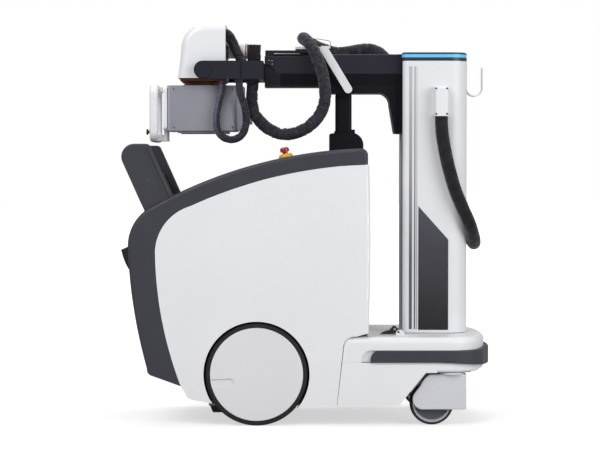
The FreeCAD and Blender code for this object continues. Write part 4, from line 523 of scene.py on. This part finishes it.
def glossy_screen(name, colour):
    """Dark glass with faint smears in its shine."""
    n = Nodes(name)
    smear = n.noise(18.0, 5.0, 0.65, (1.0, 3.0, 1.0))
    n.colour(n.blend(n.spread(smear, 0.4, 0.7, 0.0, 0.4), colour, shade(colour, 1.6)))
    n.roughness(smear, 0.05, 0.16)
    n.constants({"Coat Weight": 0.6, "Coat Roughness": 0.05})
    return n


def lit_band(name, colour, strength):
    """Lit plastic band, a little uneven along its length."""
    n = Nodes(name)
    uneven = n.spread(n.noise(40.0, 2.0), 0.3, 0.7, 0.86, 1.05)
    n.colour(n.blend(n.spread(n.noise(30.0), 0.3, 0.7, 0.0, 0.3), colour, shade(colour, 0.8)))
    n.constants({"Emission Color": colour, "Roughness": 0.4})
    n.feed(n.maths("MULTIPLY", uneven, strength), n.shader.inputs["Emission Strength"])
    return n


def slot_materials():
    """One material for each of the record's material slots."""
    made = {
        "column_white": slotted_column(tone(230, 231, 235), tone(22, 22, 28)),
        # The arm's second tone is painted shade for its slanted lower flanks
        "charcoal_metal": arm_paint(tone(41, 41, 52), tone(9, 9, 22)),
        "caster_hub": ringed_hub("caster_hub_look", tone(80, 82, 88), tone(172, 174, 180)),
        # Its lighter edges are the rear panel and a painted highlight on the rounded left corner
        "collimator_grey": speckled("collimator_grey_look", tone(144, 144, 154), tone(110, 110, 120),
                                    lighter=COLLIMATOR_PANEL_AND_HIGHLIGHT_EDGES),
        "generator_case": speckled("generator_case_look", tone(118, 121, 126), tone(86, 88, 92)),
        "motor_casting": speckled("motor_casting_look", tone(96, 99, 104), tone(66, 68, 72), (0.5, 0.65)),
        "stripe_dark": banded("stripe_dark_look", tone(74, 73, 84), tone(16, 16, 21), 0.53, 0.21),
        "screen_glass": glossy_screen("screen_glass_look", tone(16, 18, 24)),
        "led_cyan": lit_band("led_cyan_look", tone(82, 180, 226), 0.34),
        "sleeve_black": fabric("sleeve_black_look", tone(41, 41, 51)),
    }
    for maker, table in ((moulded, MOULDED), (metal, METALS), (rubber, RUBBERS)):
        for name, (screen_colour, *values) in table.items():
            made[name] = maker(name + "_look", tone(*screen_colour), *values)
    return {name: nodes.material for name, nodes in made.items()}


# Mesh building
def finished(name, bm, material, smooth=True, corner=0.55):
    """The bmesh as an object in the scene, with its material and smooth or flat shading."""
    if not bm.faces:
        raise RuntimeError("no faces were made for " + name)
    bmesh.ops.recalc_face_normals(bm, faces=bm.faces)
    mesh = bpy.data.meshes.new(name)
    bm.to_mesh(mesh)
    bm.free()
    if smooth:
        mesh.shade_smooth()
        mesh.set_sharp_from_angle(angle=corner)
    return placed(name, mesh, material)


def placed(name, mesh, material):
    """The mesh as an object in the scene, with one material."""
    mesh.materials.clear()
    mesh.materials.append(material)
    made = bpy.data.objects.new(name, mesh)
    bpy.context.scene.collection.objects.link(made)
    return made


def facing(centre, normal):
    """Matrix that puts a shape built along Z at a place, along a direction."""
    turn = Vector((0.0, 0.0, 1.0)).rotation_difference(normal).to_matrix().to_4x4()
    return Matrix.Translation(centre) @ turn


def add_screw(bm, centre, normal, radius, height):
    """Button head screw with a sunk middle, its foot a little in the surface."""
    centre, normal = Vector(centre), Vector(normal)
    made = bmesh.ops.create_cone(bm, cap_ends=True, segments=24, radius1=radius, radius2=radius,
                                 depth=height + SCREW_SINK,
                                 matrix=facing(centre + normal * (height - SCREW_SINK) / 2, normal))
    faces = {f for v in made["verts"] for f in v.link_faces}
    top = max(faces, key=lambda f: f.calc_center_median().dot(normal))
    bmesh.ops.bevel(bm, geom=list(top.edges), offset=height * 0.6, segments=3, profile=0.5,
                    affect="EDGES", material=-1)
    top = max((f for f in bm.faces if (f.calc_center_median() - centre).length < radius * 1.5),
              key=lambda f: (f.calc_center_median() - centre).dot(normal))
    bmesh.ops.inset_region(bm, faces=[top], thickness=radius * 0.22, depth=0.0)
    bmesh.ops.translate(bm, verts=top.verts, vec=normal * (-height * 0.55))


def add_box(bm, low, high, rounding=0.0):
    """Box between two corners, its edges rounded if wanted."""
    low, high = Vector(low), Vector(high)
    made = bmesh.ops.create_cube(bm, size=1.0, matrix=Matrix.Translation((low + high) / 2)
                                 @ Matrix.Diagonal((*(high - low), 1.0)))
    if rounding:
        edges = {e for v in made["verts"] for e in v.link_edges}
        bmesh.ops.bevel(bm, geom=list(edges), offset=rounding, segments=2, profile=0.5,
                        affect="EDGES", material=-1)


def add_bar(bm, start, end, width, depth):
    """Thin straight bar from start to end; its width lies in the side view, its depth across."""
    start, end = Vector(start), Vector(end)
    along = (end - start).normalized()
    across = along.cross(Vector((0.0, 1.0, 0.0))).normalized()
    turn = Matrix((along, Vector((0.0, 1.0, 0.0)), across)).transposed().to_4x4()
    sized = Matrix.Diagonal(((end - start).length, depth, width, 1.0))
    bmesh.ops.create_cube(bm, size=1.0, matrix=Matrix.Translation((start + end) / 2) @ turn @ sized)


def add_ring(bm, centre, normal, radius, thickness, flat=1.0, steps=48):
    """Ring: a small circle, flattened along the normal if wanted, spun about it."""
    normal = Vector(normal).normalized()
    side = normal.orthogonal().normalized()
    upright = Matrix((side, normal, side.cross(normal))).transposed().to_4x4()
    circle = bmesh.ops.create_circle(
        bm, cap_ends=False, segments=12, radius=thickness / 2,
        matrix=Matrix.Translation(Vector(centre) + side * radius) @ upright
        @ Matrix.Diagonal((1.0, flat, 1.0, 1.0)))
    edges = {e for v in circle["verts"] for e in v.link_edges}
    bmesh.ops.spin(bm, geom=list(edges), cent=centre, axis=normal, angle=math.tau, steps=steps,
                   use_merge=True)


# Sleeves
def route_curve(name, points, radius, steps, round_steps):
    """NURBS curve through the route's control points; with a radius it has a tube round it."""
    data = bpy.data.curves.new(name, "CURVE")
    data.dimensions = "3D"
    data.resolution_u = steps
    data.bevel_depth = radius
    data.bevel_resolution = round_steps
    data.use_fill_caps = radius > 0
    spline = data.splines.new("NURBS")
    spline.points.add(len(points) - 1)
    for spot, place in zip(spline.points, points):
        spot.co = (*place, 1.0)
    spline.order_u = 3
    spline.use_endpoint_u = True
    made = bpy.data.objects.new(name, data)
    bpy.context.scene.collection.objects.link(made)
    return made


def as_mesh(curve_object):
    """The curve's evaluated mesh; the curve itself is removed."""
    bpy.context.view_layer.update()
    evaluated = curve_object.evaluated_get(bpy.context.evaluated_depsgraph_get())
    mesh = bpy.data.meshes.new_from_object(evaluated)
    data = curve_object.data
    bpy.data.objects.remove(curve_object)
    bpy.data.curves.remove(data)
    return mesh


def route_line(name, points, steps):
    """Points along the route, read from the curve."""
    mesh = as_mesh(route_curve(name, points, 0.0, steps, 0))
    line = [v.co.copy() for v in mesh.vertices]
    bpy.data.meshes.remove(mesh)
    return line


def route_frames(line, diameter):
    """For each point of a line: distance from the start, direction, side direction and bend."""
    last = len(line) - 1
    along = [0.0]
    for before, after in zip(line, line[1:]):
        along.append(along[-1] + (after - before).length)
    tangents = [(line[min(last, i + 1)] - line[max(0, i - 1)]).normalized() for i in range(last + 1)]
    sides = [tangents[0].orthogonal().normalized()]
    for tangent in tangents[1:]:
        side = sides[-1] - tangent * sides[-1].dot(tangent)
        sides.append(side.normalized())
    reach = max(4, int(diameter / max(1e-4, along[-1] / len(line))))
    bends = []
    for i in range(last + 1):
        low, high = max(0, i - reach), min(last, i + reach)
        bends.append((tangents[high] - tangents[low]) / max(1e-6, along[high] - along[low]))
    return along, tangents, sides, bends


def between(value):
    """The value kept from 0 to 1."""
    return max(0.0, min(1.0, value))


def folded_sleeve(name, points, diameter, material, depth, pitch, steps=28, round_steps=7, bend_gain=1.0,
                  seed=0.0, lit_side_until=0.0):
    """Fabric tube along a route, creased across; its front edge carries a painted highlight for a share of
    its length.
    """
    line = route_line(name + "_line", points, steps)
    mesh = as_mesh(route_curve(name, points, diameter / 2, steps, round_steps))
    along, tangents, sides, bends = route_frames(line, diameter)
    tree = kdtree.KDTree(len(line))
    for index, place in enumerate(line):
        tree.insert(place, index)
    tree.balance()
    crest = mesh.attributes.new("fold_crest", "FLOAT", "POINT")
    pale = mesh.attributes.new("pale_side", "FLOAT", "POINT")
    gathered = mesh.attributes.new("bend_share", "FLOAT", "POINT")
    places = mesh.attributes.new("sleeve_place", "FLOAT_VECTOR", "POINT")
    ends = along[-1]
    for vertex in mesh.vertices:
        index = tree.find(vertex.co)[1]
        spoke = vertex.co - line[index]
        if spoke.length < diameter * 0.2:
            continue
        spoke.normalize()
        cosine = spoke.dot(sides[index])
        sine = spoke.dot(tangents[index].cross(sides[index]))
        position = along[index] / pitch
        wander = noise.noise(Vector((position * WANDER_PACE + seed,
                                     cosine * WANDER_TURN, sine * WANDER_TURN)))
        ridge = noise.noise(Vector((position + wander * WANDER_REACH + seed,
                                    cosine * RIDGE_TURN, sine * RIDGE_TURN)))
        small = noise.noise(Vector((position * SMALL_PACE + seed, cosine * SMALL_TURN, sine * SMALL_TURN)))
        # Folds are deepest on the inside of a bend and fade out towards both ends
        inner = max(0.0, spoke.dot(bends[index])) * diameter
        calm = min(1.0, along[index] / diameter, (ends - along[index]) / diameter)
        size = depth * (0.55 + bend_gain * min(1.6, inner * 3.2)) * (0.15 + 0.85 * max(0.0, calm))
        crease = max(0.0, 1.0 - abs(ridge) * CREASE_SHARPNESS) ** 2
        relief = 0.55 - 1.3 * abs(ridge) + SMALL_SHARE * small - CREASE_DEPTH * crease
        vertex.co += spoke * (relief * size)
        # fold_crest carries the painted highlight on crests and the painted shade in creases
        crest.data[vertex.index].value = between(0.5 + relief * 0.7)
        # Painted highlight on the side towards lower X, fading out along the sleeve
        fading = between((lit_side_until - along[index] / ends) * 6.0)
        pale.data[vertex.index].value = fading * between(0.4 - spoke.x * 5.0)
        # bend_share marks where painted shade deepens the creases inside a bend
        pinch = (spoke.dot(bends[index]) + 0.35 * bends[index].length) * diameter
        gathered.data[vertex.index].value = between(0.3 + 1.6 * pinch)
        places.data[vertex.index].vector = (position + seed, cosine * RIDGE_TURN, sine * RIDGE_TURN)
    mesh.shade_smooth()
    return placed(name, mesh, material), line, ends


def sleeve_material():
    """The fabric that the finishes made."""
    material = bpy.data.materials.get("sleeve_black_look")
    if material is None:
        raise RuntimeError("make the finishes before the sleeves")
    return material


def body_of_node(node):
    """Name of the body that a CAD node belongs to."""
    holder = frame["nodes"][node].parent
    for name, body in frame["bodies"].items():
        if body == holder:
            return name
    raise RuntimeError("no body holds " + node)


# Steps
class MACHINE_OT_stage(bpy.types.Operator):
    """Camera, lamps, white room and the floor that takes the shadow"""
    bl_idname = "machine.stage"
    bl_label = "Stage and camera"

    def execute(self, context):
        scene = context.scene
        settings = scene.machine_stage
        for spare in [o for o in scene.objects if o.name in ("Cube", "Light", "Camera")]:
            bpy.data.objects.remove(spare)
        camera = bpy.data.objects.new("front_camera", bpy.data.cameras.new("front_camera"))
        scene.collection.objects.link(camera)
        camera.location = settings.camera_place
        camera.rotation_euler = (settings.camera_pitch, 0.0, 0.0)
        camera.data.sensor_width = 36.0
        camera.data.lens = settings.lens
        scene.camera = camera
        for name, power, place, size in LAMPS:
            self.lamp(scene, name, place, size, getattr(settings, power))
        self.room(scene, settings)
        self.floor()
        scene.view_settings.view_transform = "Standard"
        return {"FINISHED"}

    def lamp(self, scene, name, place, size, power):
        """Square area lamp aimed at the middle of the machine."""
        data = bpy.data.lights.new(name, "AREA")
        data.energy = power
        data.size = size
        made = bpy.data.objects.new(name, data)
        made.location = place
        aim = Vector(LAMP_AIM) - Vector(place)
        made.rotation_euler = aim.to_track_quat("-Z", "Y").to_euler()
        scene.collection.objects.link(made)

    def room(self, scene, settings):
        """Even grey light; seen straight by the camera the room is white."""
        world = bpy.data.worlds.new("white_room")
        world.use_nodes = True
        tree = world.node_tree
        ground = tree.nodes["Background"]
        ground.inputs["Color"].default_value = WHITE
        path = tree.nodes.new("ShaderNodeLightPath")
        seen = tree.nodes.new("ShaderNodeMapRange")
        seen.inputs["To Min"].default_value = settings.room_light
        seen.inputs["To Max"].default_value = 1.0
        tree.links.new(path.outputs["Is Camera Ray"], seen.inputs["Value"])
        tree.links.new(seen.outputs["Result"], ground.inputs["Strength"])
        scene.world = world

    def floor(self):
        """Wide floor that takes the shadow; only the camera sees its glow, stronger further off."""
        n = Nodes("floor_look")
        ground = n.spread(n.noise(2.0), 0.3, 0.7)
        n.colour(n.blend(ground, tone(188, 188, 189), tone(192, 192, 192)))
        n.constants({"Roughness": 0.7, "Specular IOR Level": 0.2, "Emission Color": WHITE})
        away = n.add("ShaderNodeVectorMath", operation="LENGTH")
        n.feed(n.place, away.inputs[0])
        glow = n.spread(away.outputs["Value"], GLOW_NEAR, GLOW_FAR, GLOW_LOW, GLOW_HIGH)
        seen = n.add("ShaderNodeLightPath").outputs["Is Camera Ray"]
        n.feed(n.maths("MULTIPLY", seen, glow), n.shader.inputs["Emission Strength"])
        bm = bmesh.new()
        bmesh.ops.create_grid(bm, x_segments=1, y_segments=1, size=FLOOR_SIZE,
                              matrix=Matrix.Translation((0.0, 0.0, FLOOR_Z)))
        finished("studio_floor", bm, n.material, False)


class MACHINE_OT_finishes(bpy.types.Operator):
    """Paint, plastic, rubber, metal and glass on every piece of the frame"""
    bl_idname = "machine.finishes"
    bl_label = "Finishes"

    def execute(self, context):
        looks = slot_materials()
        for node in frame["nodes"].values():
            for place in node.material_slots:
                slot_name = place.material.name.split(".")[0]
                if slot_name not in looks:
                    raise RuntimeError("no finish for slot " + slot_name)
                place.material = looks[slot_name]
        return {"FINISHED"}


class MACHINE_OT_head_leads(bpy.types.Operator):
    """Boot over the lead at the tube head, the head's small sleeve and the tie wire"""
    bl_idname = "machine.head_leads"
    bl_label = "Head leads"

    def execute(self, context):
        settings = context.scene.machine_sleeves
        material = sleeve_material()
        boot, _, _ = folded_sleeve(
            "lead_boot", BOOT_ROUTE, BOOT_DIAMETER, material, settings.fold_depth,
            settings.fold_pitch * 0.8, steps=20, bend_gain=0.6, seed=31.0)
        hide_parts("connector_boot", "head_hose")
        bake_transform(boot)
        branch, line, length = folded_sleeve(
            "head_lead_sleeve", HEAD_LEAD_ROUTE, HEAD_LEAD_DIAMETER, material, settings.fold_depth,
            settings.fold_pitch * 1.1, steps=24, bend_gain=0.8, seed=43.0)
        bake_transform(branch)
        cuff = self.cuff(material)
        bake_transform(cuff)
        wire, line, length = self.tie_wire()
        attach(wire, body_of_node("hose_bracket"))
        return {"FINISHED"}

    def cuff(self, material):
        """Loose upper end of the boot's fabric, its top edge uneven."""
        bm = bmesh.new()
        bmesh.ops.create_cone(bm, cap_ends=False, segments=56, radius1=CUFF_LOW_RADIUS,
                              radius2=CUFF_HIGH_RADIUS, depth=CUFF_HEIGHT,
                              matrix=Matrix.Translation(CUFF_CENTRE))
        upright = [e for e in bm.edges if abs(e.verts[0].co.z - e.verts[1].co.z) > 0.05]
        bmesh.ops.subdivide_edges(bm, edges=upright, cuts=18, use_grid_fill=True)
        top = max(v.co.z for v in bm.verts)
        centre = Vector(CUFF_CENTRE)
        for vertex in bm.verts:
            spoke = Vector((vertex.co.x - centre.x, vertex.co.y - centre.y, 0.0)).normalized()
            share = max(0.0, 1.0 - (top - vertex.co.z) / CUFF_RAG_REACH)
            fold = noise.noise(Vector((spoke.x * 3.2, spoke.y * 3.2, vertex.co.z * 22.0)))
            rag = noise.noise(Vector((spoke.x * 5.0 + 9.0, spoke.y * 5.0, 0.0)))
            vertex.co += spoke * (CUFF_FOLD * fold * (0.4 + share))
            vertex.co.z += share * share * CUFF_RAG * rag
        bmesh.ops.solidify(bm, geom=list(bm.faces), thickness=CUFF_THICKNESS)
        return finished("boot_cuff", bm, material, True, 1.2)

    def tie_wire(self):
        """Thin wire loop at the hose bracket, with its line and length."""
        line = route_line("tie_wire_line", TIE_WIRE_ROUTE, 16)
        mesh = as_mesh(route_curve("tie_wire", TIE_WIRE_ROUTE, TIE_WIRE_DIAMETER / 2, 16, 3))
        mesh.shade_smooth()
        wire = placed("tie_wire", mesh, rubber("tie_wire_look", tone(20, 20, 24), (0.4, 0.55)).material)
        return wire, line, sum((b - a).length for a, b in zip(line, line[1:]))


class MACHINE_OT_hoses(bpy.types.Operator):
    """Fabric sleeves of the arm, the column and the collimator"""
    bl_idname = "machine.hoses"
    bl_label = "Hoses and cords"

    def execute(self, context):
        settings = context.scene.machine_sleeves
        material = sleeve_material()
        wide = settings.wide_diameter
        hose, line, length = folded_sleeve(
            "arm_hose_sleeve", ARM_HOSE_ROUTE, wide, material, settings.fold_depth, settings.fold_pitch)
        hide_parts("arm_hose")
        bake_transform(hose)
        narrow = settings.narrow_diameter
        # The collimator's sleeve carries the painted highlight on its front for nearly half its length
        lead, line, length = folded_sleeve(
            "collimator_cord_sleeve", COLLIMATOR_CORD_ROUTE, narrow, material, settings.fold_depth * 0.45,
            settings.fold_pitch * 0.6, steps=24, round_steps=5, bend_gain=1.2, seed=7.0, lit_side_until=0.46)
        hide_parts("collimator_cord")
        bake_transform(lead)
        far_half = tuple((x, -y, z) for x, y, z in reversed(COLUMN_LOOP_HALF))
        sleeve = settings.column_diameter
        # The column's sleeve is darker and has a weaker painted highlight on its crests
        darker = fabric("column_sleeve_look", tone(20, 20, 27), 0.35).material
        loop, line, length = folded_sleeve(
            "column_loop_sleeve", COLUMN_LOOP_HALF + far_half, sleeve, darker, settings.fold_depth * 0.45,
            settings.fold_pitch * 2.0, steps=26, bend_gain=0.5, seed=19.0)
        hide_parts("column_cable")
        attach(loop, "column")
        return {"FINISHED"}


class MACHINE_OT_column_trim(bpy.types.Operator):
    """Linings in the column's grooves, with painted shade along the walls of the two wide ones"""
    bl_idname = "machine.column_trim"
    bl_label = "Column trim"

    def execute(self, context):
        middle = lined("groove_middle_look", tone(92, 91, 100), tone(192, 192, 197)).material
        # The narrow edge strips are painted shade along the groove walls
        edge = lined("groove_edge_look", tone(36, 35, 42), tone(168, 168, 174)).material
        for side, sign in SIDES:
            wide, narrow = bmesh.new(), bmesh.new()
            for x0, x1 in GROOVES[:2]:
                self.strip(wide, sign, x0 + MIDDLE_INSET, x1 - MIDDLE_INSET)
                self.strip(narrow, sign, x0 + LINING_GAP, x0 + LINING_GAP + EDGE_WIDTH)
                self.strip(narrow, sign, x1 - LINING_GAP - EDGE_WIDTH, x1 - LINING_GAP)
            self.strip(wide, sign, GROOVES[2][0] + LINING_GAP, GROOVES[2][1] - LINING_GAP)
            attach(finished("groove_lining_" + side, wide, middle, False), "column")
            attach(finished("groove_edge_" + side, narrow, edge, False), "column")
        return {"FINISHED"}

    def strip(self, bm, sign, x0, x1):
        """Upright strip on one groove's floor, from x0 to x1."""
        low_y, high_y = sorted((sign * GROOVE_FLOOR_Y, sign * GROOVE_FACE_Y))
        add_box(bm, (x0, low_y, GROOVE_LOW_Z), (x1, high_y, GROOVE_HIGH_Z))


class MACHINE_OT_fasteners(bpy.types.Operator):
    """Screws of the junction boxes, the arm and the collimator"""
    bl_idname = "machine.fasteners"
    bl_label = "Screws"

    def execute(self, context):
        even = (3.0, 3.0, 3.0)
        looks = {
            "dark": metal("screw_dark_look", tone(60, 60, 64), (0.36, 0.5), even).material,
            "bright": metal("screw_bright_look", tone(206, 206, 210), (0.24, 0.36), even).material,
        }
        for side, sign in SIDES:
            for name, body, places, distance, radius, height, look in SCREW_SETS:
                bm = bmesh.new()
                for x, z in places:
                    add_screw(bm, (x, sign * distance, z), (0.0, sign, 0.0), radius, height)
                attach(finished(name + side, bm, looks[look]), body)
        return {"FINISHED"}


class MACHINE_OT_fittings(bpy.types.Operator):
    """Connector ring, tray strip, keys and grooves of the cheeks, and liners of the wheel wells"""
    bl_idname = "machine.fittings"
    bl_label = "Small fittings"

    def execute(self, context):
        copper = metal("copper_ring_look", tone(188, 132, 92), (0.26, 0.4), (3.0, 120.0, 120.0)).material
        bm = bmesh.new()
        add_ring(bm, *CONNECTOR_RING)
        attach(finished("connector_ring", bm, copper), "head")
        silver = metal("tray_strip_look", tone(190, 191, 196), (0.26, 0.4), (2.0, 60.0, 200.0)).material
        bm = bmesh.new()
        add_box(bm, *TRAY_STRIP)
        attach(finished("tray_strip", bm, silver), "arm_slide")
        liner = rubber("well_liner_look", tone(16, 16, 20), (0.62, 0.8)).material
        ring = moulded("cheek_ring_look", tone(92, 92, 102), (0.4, 0.5), 900.0, 0.3, 0.0, 0.05).material
        for side, sign in SIDES:
            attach(finished("cheek_key_" + side, self.key(sign), ring), "chassis")
            bm = bmesh.new()
            add_bar(bm, *((x, sign * CHEEK_GROOVE_Y, z) for x, z in CHEEK_GROOVE),
                    CHEEK_GROOVE_WIDTH, CHEEK_GROOVE_DEPTH)
            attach(finished("cheek_groove_" + side, bm, liner, False), "chassis")
            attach(finished("wheel_well_liner_" + side, self.well_liner(sign), liner), "chassis")
        return {"FINISHED"}

    def key(self, sign):
        """Ring and screw on one cheek."""
        bm = bmesh.new()
        x, y, z = KEY_RING_PLACE
        add_ring(bm, (x, sign * y, z), (0.0, 1.0, 0.0), KEY_RING_RADIUS, KEY_RING_THICKNESS)
        x, y, z = KEY_SCREW_PLACE
        add_screw(bm, (x, sign * y, z), (0.0, sign, 0.0), KEY_SCREW_RADIUS, KEY_SCREW_HEIGHT)
        return bm

    def well_liner(self, sign):
        """Flat ring that closes the gap round one drive wheel, cut off level near the cover's foot."""
        bm = bmesh.new()
        x, y, z = WELL_PLACE
        add_ring(bm, (x, sign * y, z), (0.0, 1.0, 0.0), WELL_RADIUS, WELL_WIDTH, WELL_FLATNESS, WELL_STEPS)
        bmesh.ops.bisect_plane(bm, geom=bm.verts[:] + bm.edges[:] + bm.faces[:],
                               plane_co=(0.0, 0.0, WELL_FOOT_Z), plane_no=(0.0, 0.0, 1.0), clear_inner=True)
        bmesh.ops.holes_fill(bm, edges=[e for e in bm.edges if e.is_boundary])
        return bm


OPERATORS = (
    MACHINE_OT_stage, MACHINE_OT_finishes, MACHINE_OT_head_leads, MACHINE_OT_hoses,
    MACHINE_OT_column_trim, MACHINE_OT_fasteners, MACHINE_OT_fittings,
)


class MACHINE_PT_sidebar(bpy.types.Panel):
    """Settings and steps of the machine's looks"""
    bl_label = "Mobile x-ray machine"
    bl_idname = "MACHINE_PT_sidebar"
    bl_space_type = "VIEW_3D"
    bl_region_type = "UI"
    bl_category = "Machine"

    def draw(self, context):
        scene = context.scene
        for group in (scene.machine_stage, scene.machine_sleeves, scene.machine_finish):
            box = self.layout.box()
            for name in type(group).__annotations__:
                box.prop(group, name)
        for step in OPERATORS:
            self.layout.operator(step.bl_idname)


SETTINGS = (MachineSleeveSettings, MachineFinishSettings, MachineStageSettings)


def register():
    """Make the settings, the steps and the panel known."""
    for kind in SETTINGS + OPERATORS + (MACHINE_PT_sidebar,):
        bpy.utils.register_class(kind)
    bpy.types.Scene.machine_sleeves = bpy.props.PointerProperty(type=MachineSleeveSettings)
    bpy.types.Scene.machine_finish = bpy.props.PointerProperty(type=MachineFinishSettings)
    bpy.types.Scene.machine_stage = bpy.props.PointerProperty(type=MachineStageSettings)


def unregister():
    """Take back what register did."""
    del bpy.types.Scene.machine_stage
    del bpy.types.Scene.machine_finish
    del bpy.types.Scene.machine_sleeves
    for kind in reversed(SETTINGS + OPERATORS + (MACHINE_PT_sidebar,)):
        bpy.utils.unregister_class(kind)


def main():
    """Run every step in order."""
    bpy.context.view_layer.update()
    register()
    bpy.ops.machine.stage()
    bpy.ops.machine.finishes()
    bpy.ops.machine.head_leads()
    bpy.ops.machine.hoses()
    bpy.ops.machine.column_trim()
    bpy.ops.machine.fasteners()
    bpy.ops.machine.fittings()
    bpy.context.view_layer.update()


if __name__ == "__main__":
    main()
